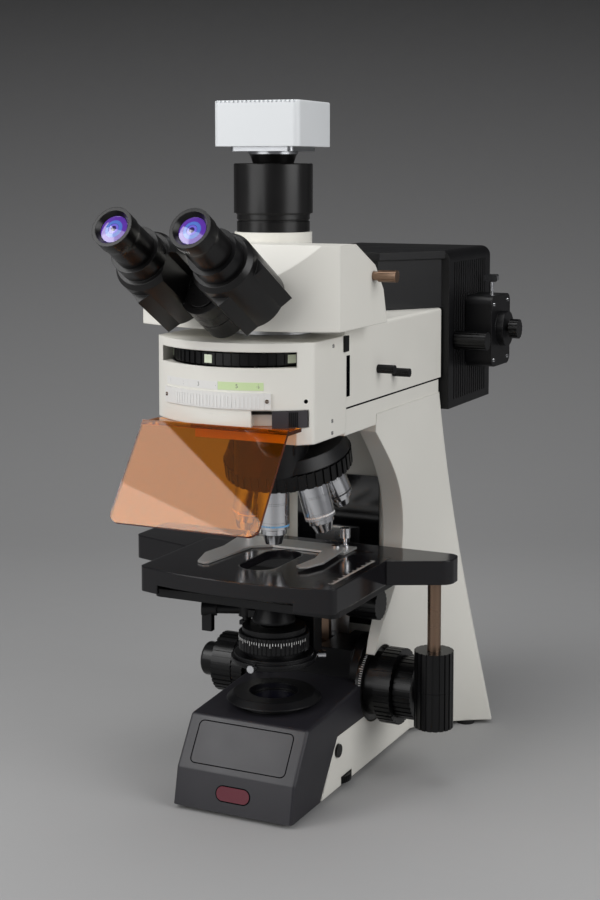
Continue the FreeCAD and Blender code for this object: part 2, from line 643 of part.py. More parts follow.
def cross_slide():
    """Specimen holder with its carriage in the wing's trough, and the sprung finger."""
    z = STAGE_TOP + RUN
    carriage = block(HOLDER_X - 24, HOLDER_X + 24, WING_FRONT + 7 + RUN, WING_REAR - 7 - RUN, 202, 208.7)
    neck = block(HOLDER_X - 20, HOLDER_X + 20, HOLDER_Y - 3 + RUN, HOLDER_Y + 3 - RUN, 208, z + 1)
    keep("specimen_holder", join(carriage, neck))
    half = HOLDER_SPAN / 2
    rear, front = HOLDER_Y + 6, HOLDER_Y - 22
    bar = slab([(HOLDER_X - half - 9, HOLDER_Y - 8), (HOLDER_X - half - 9, rear), (HOLDER_X + half + 9, rear),
                (HOLDER_X + half + 9, front), (HOLDER_X - 14, front), (HOLDER_X - 30, front - 10), (-43, -44),
                (-47, -47), (-54, -44), (-63, -14), (-60, 16)], z, z + HOLDER_THICK)
    bar = bar.cut(block(HOLDER_X - 20.3, HOLDER_X + 20.3, HOLDER_Y - 3, HOLDER_Y + 3, 0, z + 1))
    keep("specimen_holder", bar)
    pivot = V(HOLDER_X + half - 4, HOLDER_Y - 12, z + HOLDER_THICK + RUN)
    finger = slab([(pivot.x - 7, pivot.y + 4), (pivot.x + 7, pivot.y + 4), (pivot.x + 10, pivot.y - 4), (54, -10),
                   (48, -30), (42, -34), (37, -30), (40, 2), (32, pivot.y - 6)], pivot.z, pivot.z + 1.6)
    keep("holder_finger", finger.cut(upright(2.1, pivot.z - 1, pivot.z + 5, pivot.x, pivot.y)))
    pin = join(upright(2, pivot.z - RUN, pivot.z + 2.2, pivot.x, pivot.y),
               upright(4, pivot.z + 1.9, pivot.z + 3.4, pivot.x, pivot.y))
    screws = []
    for x in (HOLDER_X - half, HOLDER_X + half):
        shank = upright(2, z + HOLDER_THICK, z + 12, x, HOLDER_Y)
        head = grip(4.8, 0.4, 1, 16, V(x, HOLDER_Y, z + 11), V(x, HOLDER_Y, z + 20))
        screws.append(join(shank, head, upright(3.6, z + HOLDER_THICK, z + 5, x, HOLDER_Y)))
    keep("holder_screws", pin, *screws)


def stage_drive():
    """Coaxial shafts below the right wing, with one knob for each direction."""
    top = STAGE_TOP - 5 - RUN
    outer = tube(DRIVE_RADIUS, 3 + FIT, V(DRIVE_X, DRIVE_Y, LOWER_KNOB_TOP + 6), V(DRIVE_X, DRIVE_Y, top))
    keep("y_drive_knob", outer)
    upper = grip(DRIVE_KNOB, 1, 1.7, 20, V(DRIVE_X, DRIVE_Y, LOWER_KNOB_TOP + RUN), V(DRIVE_X, DRIVE_Y, UPPER_KNOB_TOP))
    upper = upper.cut(upright(DRIVE_RADIUS, LOWER_KNOB_TOP + 6, 200, DRIVE_X, DRIVE_Y))
    keep("y_drive_knob", upper.cut(upright(3 + FIT, 0, 200, DRIVE_X, DRIVE_Y)))
    keep("x_drive_knob", upright(3, LOWER_KNOB_END + 8, top, DRIVE_X, DRIVE_Y))
    lower = grip(DRIVE_KNOB, 1, 1.7, 20, V(DRIVE_X, DRIVE_Y, LOWER_KNOB_END), V(DRIVE_X, DRIVE_Y, LOWER_KNOB_TOP))
    keep("x_drive_knob", lower.cut(upright(3, LOWER_KNOB_END + 8, 200, DRIVE_X, DRIVE_Y)))


def condenser():
    """Swing-out condenser in a ring that a rack knob raises on the stage bracket."""
    slide_rear = 52
    rail = slab([(-9, slide_rear), (-14, slide_rear - 8), (14, slide_rear - 8), (9, slide_rear)], 120, 181.5)
    keep("focus_carriage", rail)
    play = RUN
    groove = slab([(-9 - play, slide_rear), (-14 - play, slide_rear - 8 - play), (14 + play, slide_rear - 8 - play),
                   (9 + play, slide_rear)], 0, 300)
    arm = block(-24, 24, 34, slide_rear - 1, COND_CARRIER_Z, COND_CONE_Z - 1).cut(groove)
    ring = tube(36, 27 + FIT, V(0, 0, COND_CARRIER_Z), V(0, 0, COND_CARRIER_TOP - 6))
    lip = tube(39, 36, V(0, 0, COND_CARRIER_Z + 3), V(0, 0, COND_CARRIER_Z + 6))
    neck = block(-16, 16, 30, 40, COND_CARRIER_Z, COND_CARRIER_TOP - 6)
    neck = neck.cut(upright(30, 0, 300))
    screw_dirs = (150, 30, 270)
    screws, holes = [], []
    for angle in screw_dirs:
        out = V(math.cos(math.radians(angle)), math.sin(math.radians(angle)), 0)
        height = Z * (COND_CARRIER_Z + 4.5)
        holes.append(rod(1.5, height + out * 26, height + out * 42))
        screws.append(join(rod(1.5, height + out * 27.2, height + out * 41),
                           grip(3.6, 0.4, 0.9, 14, height + out * 40, height + out * 47)))
    keep("condenser_carrier", join(arm, ring, lip, neck).cut(holes))
    keep("centring_screws", *screws)
    body = turned([(12, COND_CARRIER_Z + 1), (27, COND_CARRIER_Z + 1), (27, COND_RING_TOP - 5), (29, COND_RING_TOP - 5), (29, COND_RING_TOP), (12, COND_RING_TOP)])
    keep("condenser_body", body)
    ring = grip(COND_RING_RADIUS, 0.7, 1.3, 48, V(0, 0, COND_RING_Z - 5), V(0, 0, COND_RING_TOP - 5 - RUN))
    keep("aperture_ring", ring.cut(upright(27 + RUN, 0, 300)))
    keep("condenser_body", upright(12 - FIT, COND_CARRIER_Z + 8, COND_CARRIER_Z + 16))

    pivot = V(-30, 4, 0)
    post = upright(4, COND_RING_TOP, COND_CONE_TOP - 2, pivot.x, pivot.y)
    foot = block(pivot.x - 5, -20, pivot.y - 5, pivot.y + 5, COND_RING_TOP - 4, COND_RING_TOP)
    foot = foot.cut(upright(29, 0, 300))
    keep("condenser_body", join(post, foot))
    top = turned([(9, COND_CONE_Z), (COND_CONE_RADIUS, COND_CONE_Z), (COND_CONE_RADIUS, COND_CONE_Z + 2),
                  (COND_LENS_RADIUS, COND_CONE_TOP), (9, COND_CONE_TOP)])
    hub = upright(7.5, COND_CONE_Z, COND_CONE_TOP - 3, pivot.x, pivot.y)
    link = block(-30, -10, -2, 8, COND_CONE_Z, COND_CONE_Z + 7)
    lever = rod(4.5, V(-34, 2, COND_CONE_Z + 6), V(-58, -8, COND_CONE_Z + 6))
    paddle = rod(6.5, V(-55, -6.8, COND_CONE_Z + 6), V(-68, -12.2, COND_CONE_Z + 6))
    blade = block(-67, -57, -14, -8, COND_CONE_Z - 14, COND_CONE_Z + 6)
    swing = join(top, hub, link.cut(upright(9, 0, 300)), lever, paddle, blade)
    swing = swing.cut(upright(4 + FIT, 0, 300, pivot.x, pivot.y)).cut(upright(9, 0, 300))
    keep("swing_lens_arm", swing)
    keep("swing_lens_arm", upright(9, COND_CONE_Z + 5, COND_CONE_TOP - 1))

    axis = (COND_KNOB_Y, COND_KNOB_Z)
    knob = grip(COND_KNOB_RADIUS, 1, 1.8, 18, V(COND_KNOB_X, *axis), V(COND_KNOB_END, *axis))
    keep("condenser_knob", join(across(4, 24, COND_KNOB_X, *axis), knob,
                                across(6, BRACKET_HALF + RUN, COND_KNOB_X, *axis)))


def tilted(solid):
    """Leans a solid from the nosepiece's own frame, where z is its axis, onto the arm."""
    lean = math.radians(NOSE_TILT)
    centre = V(0, OBJECTIVE_PITCH * math.cos(lean), OBJECTIVE_SEAT + OBJECTIVE_PITCH * math.sin(lean))
    solid.Placement = FreeCAD.Placement(centre, FreeCAD.Rotation(X, NOSE_TILT)).multiply(solid.Placement)
    return solid


def nosepiece():
    """Six-place revolver: fixed base, turning plate with a knurled grip, and objectives."""
    rise = math.tan(math.radians(NOSE_TILT))
    rim = GRIP_RADIUS - 3
    plate = turned([(0, -OBJECTIVE_PITCH * rise), (rim, (rim - OBJECTIVE_PITCH) * rise), (rim, NOSE_PLATE),
                    (10, NOSE_PLATE), (10, NOSE_PLATE + 12), (0, NOSE_PLATE + 12)])
    ports = []
    for i in range(PORT_COUNT):
        spin = FreeCAD.Placement(V(0, 0, 0), FreeCAD.Rotation(Z, 360 * i / PORT_COUNT))
        axis = V(0, -math.sin(math.radians(NOSE_TILT)), -math.cos(math.radians(NOSE_TILT)))
        seat = V(0, -OBJECTIVE_PITCH, 0)
        hole = rod(PORT_RADIUS, seat + axis * 8, seat - axis * 30)
        hole.Placement = spin.multiply(hole.Placement)
        ports.append(hole)
    keep("nosepiece", tilted(plate.cut(ports)))
    knurl = grip(GRIP_RADIUS, 1.4, 3, 44, V(0, 0, (rim - OBJECTIVE_PITCH) * rise), V(0, 0, GRIP_HEIGHT))
    knurl = knurl.cut(upright(rim, 0, GRIP_HEIGHT + 1))
    keep("nosepiece", tilted(knurl))

    dome = turned([(10 + FIT, NOSE_PLATE + RUN), (GRIP_RADIUS - 3.3, NOSE_PLATE + RUN), (GRIP_RADIUS - 3.3, GRIP_HEIGHT + 1),
                   (GRIP_RADIUS - 1, GRIP_HEIGHT + 1), (GRIP_RADIUS - 6, GRIP_HEIGHT + 12), (28, GRIP_HEIGHT + 14),
                   (10 + FIT, GRIP_HEIGHT + 14)])
    dome = tilted(dome)
    collar = upright(33, OBJECTIVE_SEAT + 14, HOUSING_BOTTOM + 4, 0, -4)
    shelf = block(-30, 30, -20, 50, HOUSING_BOTTOM - 22, HOUSING_BOTTOM - 3.2)
    base = join(dome, collar, shelf).common(block(-90, 90, -60, 100, 0, ARM_BOTTOM - 0.2))
    plug = upright(10 + FIT, 0, NOSE_PLATE + 12 + RUN).fuse([
        upright(rim + 1, -60, NOSE_PLATE + RUN), tube(2 * rim, rim - RUN, V(0, 0, -60), V(0, 0, GRIP_HEIGHT + RUN))])
    light = upright(12, 0, 400)
    keep("nosepiece_mount", base.cut([tilted(plug), light]))
    for i, length in enumerate(OBJECTIVE_LENGTHS):
        keep("objectives", objective(length, (0, 1, 2, -1, -2)[i]))


def objective(length, place):
    """One infinity objective: thread, knurled body, colour ring groove and sprung nose."""
    body = turned([(3, 5), (PORT_RADIUS - FIT, 5), (PORT_RADIUS - FIT, 0), (OBJECTIVE_RADIUS - 1, 0),
                   (OBJECTIVE_RADIUS, -2), (OBJECTIVE_RADIUS, -length * 0.72), (OBJECTIVE_RADIUS - 2.5, -length * 0.74),
                   (OBJECTIVE_RADIUS - 2.5, -length * 0.82), (OBJECTIVE_RADIUS - 3.5, -length * 0.83),
                   (OBJECTIVE_RADIUS - 6.5, -length), (3, -length)])
    seat = V(0, -OBJECTIVE_PITCH, 0)
    lean = FreeCAD.Placement(seat, FreeCAD.Rotation(X, -NOSE_TILT))
    spin = FreeCAD.Placement(V(0, 0, 0), FreeCAD.Rotation(Z, 360 * place / PORT_COUNT))
    body.Placement = spin.multiply(lean)
    return tilted(body)


def illuminator():
    """Filter turret housing, epi tube on the arm, turret, shutter, levers and cover plate."""
    front = bow_front(HOUSING_HALF, HOUSING_SIDE_Y, HOUSING_BOW, HOUSING_REAR, HOUSING_BOTTOM, HOUSING_TOP)
    front = soften(front, 6, Z, lambda c: c.y < -60)
    hollow = upright(TURRET_RADIUS + RUN, CUBE_BOTTOM - 4, WHEEL_TOP + RUN, 0, TURRET_Y)
    light = upright(14, 0, 500)
    throat = block(-20, 20, -60, 0, EPI_Z - 18, EPI_Z + 16)
    slot = block(-64, 64, -130, -60, WHEEL_Z - 1.5, WHEEL_TOP + 1.5)
    shutter_bed = curved_bar(SHUTTER_FROM - SHUTTER_TRAVEL - 1, SHUTTER_TO + 1, SHUTTER_DEPTH + 0.4, -5,
                             SHUTTER_Z - RUN, SHUTTER_Z + SHUTTER_HEIGHT + RUN)
    step = block(-100, 100, -130, SHIELD_REAR + 1, 0, SHIELD_Z + SHIELD_THICK + SEAM)
    bite = block(-100, -32, -130, -40, 0, SHIELD_Z + SHIELD_THICK + SEAM)
    housing = front.cut([hollow, light, throat, slot, shutter_bed, step, bite])
    keep("turret_housing", housing)

    body = block(-TUBE_HALF, TUBE_HALF, HOUSING_REAR + SEAM, TUBE_REAR, ARM_TOP, TUBE_TOP)
    body = soften(body, 3, Y, lambda c: c.z > TUBE_TOP - 1)
    bore = rod(EPI_BORE, V(0, HOUSING_REAR - 5, EPI_Z), V(0, TUBE_REAR + 5, EPI_Z))
    pocket = upright(TURRET_RADIUS + RUN, CUBE_BOTTOM - 4, WHEEL_TOP + RUN, 0, TURRET_Y)
    stem_holes = [across(IRIS_STEM + FIT, EPI_BORE + 4 - RUN, 200, FIELD_IRIS_Y, EPI_Z),
                  across(IRIS_STEM + FIT, EPI_BORE + 4 - RUN, 200, APERTURE_IRIS_Y, EPI_Z - 7)]
    side_slot = block(ARM_HALF - 12, 200, -4, 3, 364, 400)
    chambers = [block(min(side * (EPI_BORE + 5), side * (TUBE_HALF - 5)), max(side * (EPI_BORE + 5), side * (TUBE_HALF - 5)),
                      APERTURE_IRIS_Y + 8, TUBE_REAR - 5, ARM_TOP + 5, TUBE_TOP - 5) for side in (-1, 1)]
    seat = upright(HEAD_RING + RUN, TUBE_TOP - 5.5, 500)
    body = body.cut([bore, pocket, seat, upright(14, 0, 500), side_slot] + stem_holes + chambers)
    keep("illuminator_tube", body)
    turret()
    diaphragms()

    plate_arc = bow_front(HOUSING_HALF, HOUSING_SIDE_Y - 2, HOUSING_BOW, -60, STRIP_BOTTOM, STRIP_TOP)
    inside = bow_front(HOUSING_HALF, HOUSING_SIDE_Y, HOUSING_BOW, -50, HOUSING_BOTTOM, HOUSING_TOP)
    keep("strip_cover", plate_arc.cut(inside).common(
        block(STRIP_LEFT, STRIP_RIGHT, -2 * HOUSING_HALF, -60, STRIP_BOTTOM, STRIP_TOP)))
    keep("shutter_slider", curved_bar(SHUTTER_FROM, SHUTTER_TO, SHUTTER_DEPTH, SHUTTER_PROUD, SHUTTER_Z,
                                      SHUTTER_Z + SHUTTER_HEIGHT))


def curved_bar(start, end, depth, proud, z0, z1):
    """Piece of a ring along the housing's bowed front, between two angles from the middle."""
    radius = (HOUSING_HALF ** 2 + HOUSING_BOW ** 2) / (2 * HOUSING_BOW)
    centre_y = HOUSING_SIDE_Y - HOUSING_BOW + radius
    reach = 3 * radius
    ends = [(reach * math.sin(math.radians(turn)), centre_y - reach * math.cos(math.radians(turn)))
            for turn in (start, end)]
    ring = upright(radius + max(proud, -proud), z0, z1, 0, centre_y).cut(upright(radius - depth, z0, z1, 0, centre_y))
    return ring.common(slab([(0, centre_y)] + ends, z0, z1))


def turret():
    """Six filter cubes on a turning disc with a ribbed wheel."""
    wheel = grip(TURRET_RADIUS - RUN, 1, 2.2, 60, V(0, TURRET_Y, WHEEL_Z), V(0, TURRET_Y, WHEEL_TOP))
    bores, cubes, filters = [], [], []
    for i in range(6):
        turn = FreeCAD.Placement(V(0, TURRET_Y, 0), FreeCAD.Rotation(Z, 60 * i))
        cube = block(-CUBE_SIZE / 2, CUBE_SIZE / 2, -TURRET_Y - CUBE_SIZE / 2, -TURRET_Y + CUBE_SIZE / 2, CUBE_BOTTOM,
                     WHEEL_Z - 0.01)
        cube = cube.cut([upright(10, 0, 500, 0, -TURRET_Y),
                         rod(10, V(0, 0, EPI_Z), V(0, 200, EPI_Z))])
        glass = rod(9.5, V(0, -TURRET_Y - 0.5, 0), V(0, -TURRET_Y + 0.5, 0))
        glass.rotate(V(0, -TURRET_Y, 0), X, 45)
        glass.translate(V(0, 0, EPI_Z))
        hole = upright(10, 0, 500, 0, -TURRET_Y)
        for piece, group in ((cube, cubes), (glass, filters), (hole, bores)):
            piece.Placement = turn.multiply(piece.Placement)
            group.append(piece)
    wheel = wheel.cut(bores + [upright(8 + FIT, 0, 500, 0, TURRET_Y)])
    keep("filter_turret", wheel)
    keep("filter_cubes", *cubes)
    keep("filter_cubes", *filters)
    keep("turret_housing", join(upright(8, CUBE_BOTTOM - 4, WHEEL_TOP + RUN, 0, TURRET_Y),
                             upright(11, CUBE_BOTTOM - 4, CUBE_BOTTOM - 1, 0, TURRET_Y)))


def diaphragms():
    """Leaf discs fixed across the epi tube, each with a turning knob on the right side."""
    for name, y, z in (("field_iris", FIELD_IRIS_Y, EPI_Z), ("aperture_iris", APERTURE_IRIS_Y, EPI_Z - 7)):
        keep("illuminator_tube", rod(EPI_BORE, V(0, y - 1.5, EPI_Z), V(0, y + 1.5, EPI_Z)).cut(
            rod(5, V(0, y - 5, EPI_Z), V(0, y + 5, EPI_Z))))
        knob = grip(4, 0.4, 1, 12, V(TUBE_HALF + RUN, y, z), V(TUBE_HALF + 17, y, z))
        keep(name, join(across(IRIS_STEM, EPI_BORE + 4, TUBE_HALF + 2, y, z), knob))


def shield():
    """Orange acrylic sheet folded to hang in front of the objectives, on its bracket."""
    top = SHIELD_Z + SHIELD_THICK
    flange = block(-SHIELD_HALF, SHIELD_HALF, SHIELD_FOLD, SHIELD_REAR, SHIELD_Z, top)
    run, fall = SHIELD_FOLD - SHIELD_TIP, top - SHIELD_TIP_Z
    length = math.hypot(run, fall)
    sheet = block(-SHIELD_HALF, SHIELD_HALF, -SHIELD_THICK, 0, -length, 0)
    sheet = sheet.makeFillet(9, edges_along(sheet, Y, lambda c: c.z < -length / 2))
    sheet.rotate(V(0, 0, 0), X, -math.degrees(math.atan2(run, fall)))
    sheet.translate(V(0, SHIELD_FOLD + 2, top))
    keep("shield", join(flange, sheet))


def head():
    """Trinocular body with its dovetail, prism and beam-splitter rod."""
    low = bow_front(HEAD_HALF, HEAD_FRONT, HEAD_BOW, HEAD_REAR, HEAD_BOTTOM, HEAD_TOP)
    side = profile([(HEAD_FRONT - 40, HEAD_BOTTOM - 1), (HEAD_FRONT - 6, HEAD_TOP + 1), (-36, HEAD_TOP + 1),
                    (8, HEAD_TOP - 20), (26, HEAD_TOP - 42), (HEAD_REAR + 1, HEAD_BOTTOM - 1)], -200, 200)
    body = low.common(side)
    neck = upright(COLLAR_RADIUS + 2, HEAD_TOP - 40, NECK_TOP)
    body = join(body, neck)
    light = upright(14, 0, 600)
    prism_room = block(-19, 34, -40, 20, 440, 482)
    pull = across(4 + FIT, 0, 2 * HEAD_HALF, ROD_Y, ROD_Z)
    pin_room = eye_place(eyepiece_boss(SEAM))
    keep("head_body", body.cut([light, prism_room, pull, pin_room]))
    keep("head_body", tube(HEAD_RING, 20, V(0, 0, TUBE_TOP - 5.5 + RUN), V(0, 0, HEAD_BOTTOM)))
    half = SPLITTER_HALF
    keep("beam_splitter", block(-half, half, ROD_Y + 4 - 2 * half, ROD_Y + 4, ROD_Z + 4 - 2 * half, ROD_Z + 4))
    keep("beam_splitter", join(across(4, half, HEAD_HALF + 6, ROD_Y, ROD_Z),
                               grip(5.2, 0.5, 1, 14, V(HEAD_HALF + 5, ROD_Y, ROD_Z),
                                    V(HEAD_HALF + 22, ROD_Y, ROD_Z))))


def eye_place(solid):
    """Moves a solid from the eyepiece frame, z towards the user's eye, onto the head."""
    frame = FreeCAD.Placement(V(0, EYE_ORIGIN_Y, EYE_ORIGIN_Z), FreeCAD.Rotation(X, 90 - EYE_TILT))
    solid.Placement = frame.multiply(solid.Placement)
    return solid


def eyepiece_boss(gap=0):
    """Flange and spigot of the eyepiece pin, let into the head's front face."""
    drop = math.sqrt(EYE_SWING ** 2 - (EYE_SPACING / 2) ** 2)
    pin = V(0, -drop, 0)
    return join(rod(HUB_RADIUS + gap, pin + Z * (-10 - gap), pin + Z * (BLOCK_BOTTOM - 1)),
                rod(8 + gap, pin + Z * (-16 - gap), pin))


def eyepieces():
    """Two tube blocks hinged on one pin, each with a prism, tube and eyepiece."""
    half = EYE_SPACING / 2
    drop = math.sqrt(EYE_SWING ** 2 - half ** 2)
    pin = V(0, -drop, 0)
    keep("eyepiece_pin", eye_place(join(eyepiece_boss(), rod(HUB_PIN - FIT, pin, pin + Z * (BLOCK_BOTTOM + 26)))))
    for name, side, low in (("right", 1, BLOCK_BOTTOM), ("left", -1, BLOCK_BOTTOM + HUB_THICK + RUN)):
        centre = V(side * half, 0, 0)
        barrel = rod(BLOCK_RADIUS, centre + Z * BLOCK_BOTTOM, centre + Z * BLOCK_TOP)
        wedge = block(0, 24, -24, 24, BLOCK_BOTTOM, BLOCK_TOP - 8)
        wedge.rotate(V(0, 0, 0), Z, -42)
        wedge.translate(centre)
        if side < 0:
            wedge = wedge.mirror(V(-half, 0, 0), X)
        taper = cone(BLOCK_RADIUS, BLOCK_RADIUS - 3, centre + Z * BLOCK_TOP, centre + Z * (BLOCK_TOP + 5))
        hub = rod(HUB_RADIUS, pin + Z * low, pin + Z * (low + HUB_THICK))
        link = Part.makeBox(half, 20, HUB_THICK, V(0 if side > 0 else -half, -drop - 8, low))
        other = BLOCK_BOTTOM + HUB_THICK + RUN if side > 0 else BLOCK_BOTTOM
        clear = rod(HUB_RADIUS + RUN, pin + Z * (other - RUN), pin + Z * (other + HUB_THICK + RUN))
        beyond = rod(HUB_RADIUS + RUN, pin + Z * (BLOCK_BOTTOM + 2 * HUB_THICK + RUN), pin + Z * 200)
        body = join(barrel, wedge, taper, hub, link).cut(
            [clear, beyond.common(block(-HUB_PIN - 1, HUB_PIN + 1, -60, 60, 0, 300)), rod(HUB_PIN, pin, pin + Z * 100),
             rod(15, centre + Z * 40, centre + Z * 200), block(*prism_room(side, half))])
        keep(name + "_tube_block", eye_place(body))
        prism = block(*prism_room(side, half, 0.3))
        keep(name + "_tube_block", eye_place(prism))
        sleeve = tube(21, 15.5, centre + Z * (BLOCK_TOP + 5), centre + Z * (BLOCK_TOP + 20))
        keep("diopter_ring" if side > 0 else "left_tube_block", eye_place(sleeve))
        top = BLOCK_TOP + 20 + RUN
        eyepiece = turned([(12, EYE_LENS - 4), (14.5, EYE_LENS), (17.5, EYE_LENS), (17.5, EYE_LENS - 12),
                           (16.5, EYE_LENS - 16), (17, top), (15 - FIT, top), (15 - FIT, top - 20), (12, top - 20)], centre)
        keep(name + "_eyepiece", eye_place(eyepiece))
        lens = rod(12, centre + Z * (EYE_LENS - 9), centre + Z * (EYE_LENS - 3)).common(
            Part.makeSphere(30, centre + Z * (EYE_LENS - 33)))
        keep(name + "_eyepiece", eye_place(lens))


def prism_room(side, half, gap=0):
    """Corners of the prism's seat in a tube block."""
    return (side * half - 9 + gap, side * half + 9 - gap, -9 + gap, 9 - gap, 20, 39.9 - gap)


def phototube():
    """Collar, tube, relay cone, mount ring and camera on the optical axis."""
    collar = turned([(15, NECK_TOP), (COLLAR_RADIUS, NECK_TOP), (COLLAR_RADIUS, NECK_TOP + 9),
                     (COLLAR_RADIUS - 1, NECK_TOP + 9.5), (COLLAR_RADIUS - 1, NECK_TOP + 10.5),
                     (COLLAR_RADIUS, NECK_TOP + 11), (COLLAR_RADIUS, COLLAR_TOP), (15, COLLAR_TOP)])
    keep("phototube", collar)
    keep("phototube", turned([(15, COLLAR_TOP), (PHOTO_RADIUS - 2, COLLAR_TOP), (PHOTO_RADIUS - 2, COLLAR_TOP + 1),
                              (PHOTO_RADIUS, COLLAR_TOP + 1), (PHOTO_RADIUS, PHOTO_TOP - 1),
                              (PHOTO_RADIUS - 1, PHOTO_TOP), (15, PHOTO_TOP)]))
    keep("camera_adapter", turned([(11, PHOTO_TOP), (18, PHOTO_TOP), (21, CONE_TOP), (11, CONE_TOP)]))
    keep("camera_adapter", upright(15 - FIT, PHOTO_TOP - 30, PHOTO_TOP - 22))
    keep("camera_body", tube(MOUNT_RADIUS, 12, V(0, 0, CONE_TOP), V(0, 0, CONE_TOP + MOUNT_HEIGHT)))
    half = CAMERA_FOOT / 2
    foot = soften(block(-half, half, -half, half, CONE_TOP + MOUNT_HEIGHT, CAMERA_FOOT_TOP), 5, Z)
    foot.rotate(V(0, 0, 0), Z, CAMERA_TURN)
    keep("camera_body", foot.cut(upright(12, 0, 700)))
    half = CAMERA_SIDE / 2
    shell = soften(block(-half, half, -half, half, CAMERA_FOOT_TOP, CAMERA_TOP), 6, Z)
    shell = soften(shell, 1.5, X, lambda c: c.z > CAMERA_TOP - 1)
    inner = half - CAMERA_WALL
    room = block(-inner, inner, -inner, inner, CAMERA_FOOT_TOP + CAMERA_WALL, CAMERA_TOP - CAMERA_WALL)
    vents = [block(x - 1.1, x + 1.1, -half - 1, -half + 2, CAMERA_TOP - 2, CAMERA_TOP + 1)
             for x in [-36 + 4 * i for i in range(19)]]
    shell = shell.cut([room, upright(12, CAMERA_FOOT_TOP - 1, CAMERA_FOOT_TOP + 4)] + vents)
    board = block(-half + 6, half - 6, -half + 6, half - 6, CAMERA_FOOT_TOP + 10, CAMERA_FOOT_TOP + 12)
    posts = [upright(3, CAMERA_FOOT_TOP + CAMERA_WALL, CAMERA_FOOT_TOP + 10, x, y) for x in (-28, 28) for y in (-28, 28)]
    chip = block(-7, 7, -5, 5, CAMERA_FOOT_TOP + 7.5, CAMERA_FOOT_TOP + 10)
    for name, piece in (("camera_body", shell), ("camera_body", join(board, chip, *posts))):
        piece.rotate(V(0, 0, 0), Z, CAMERA_TURN)
        keep(name, piece)


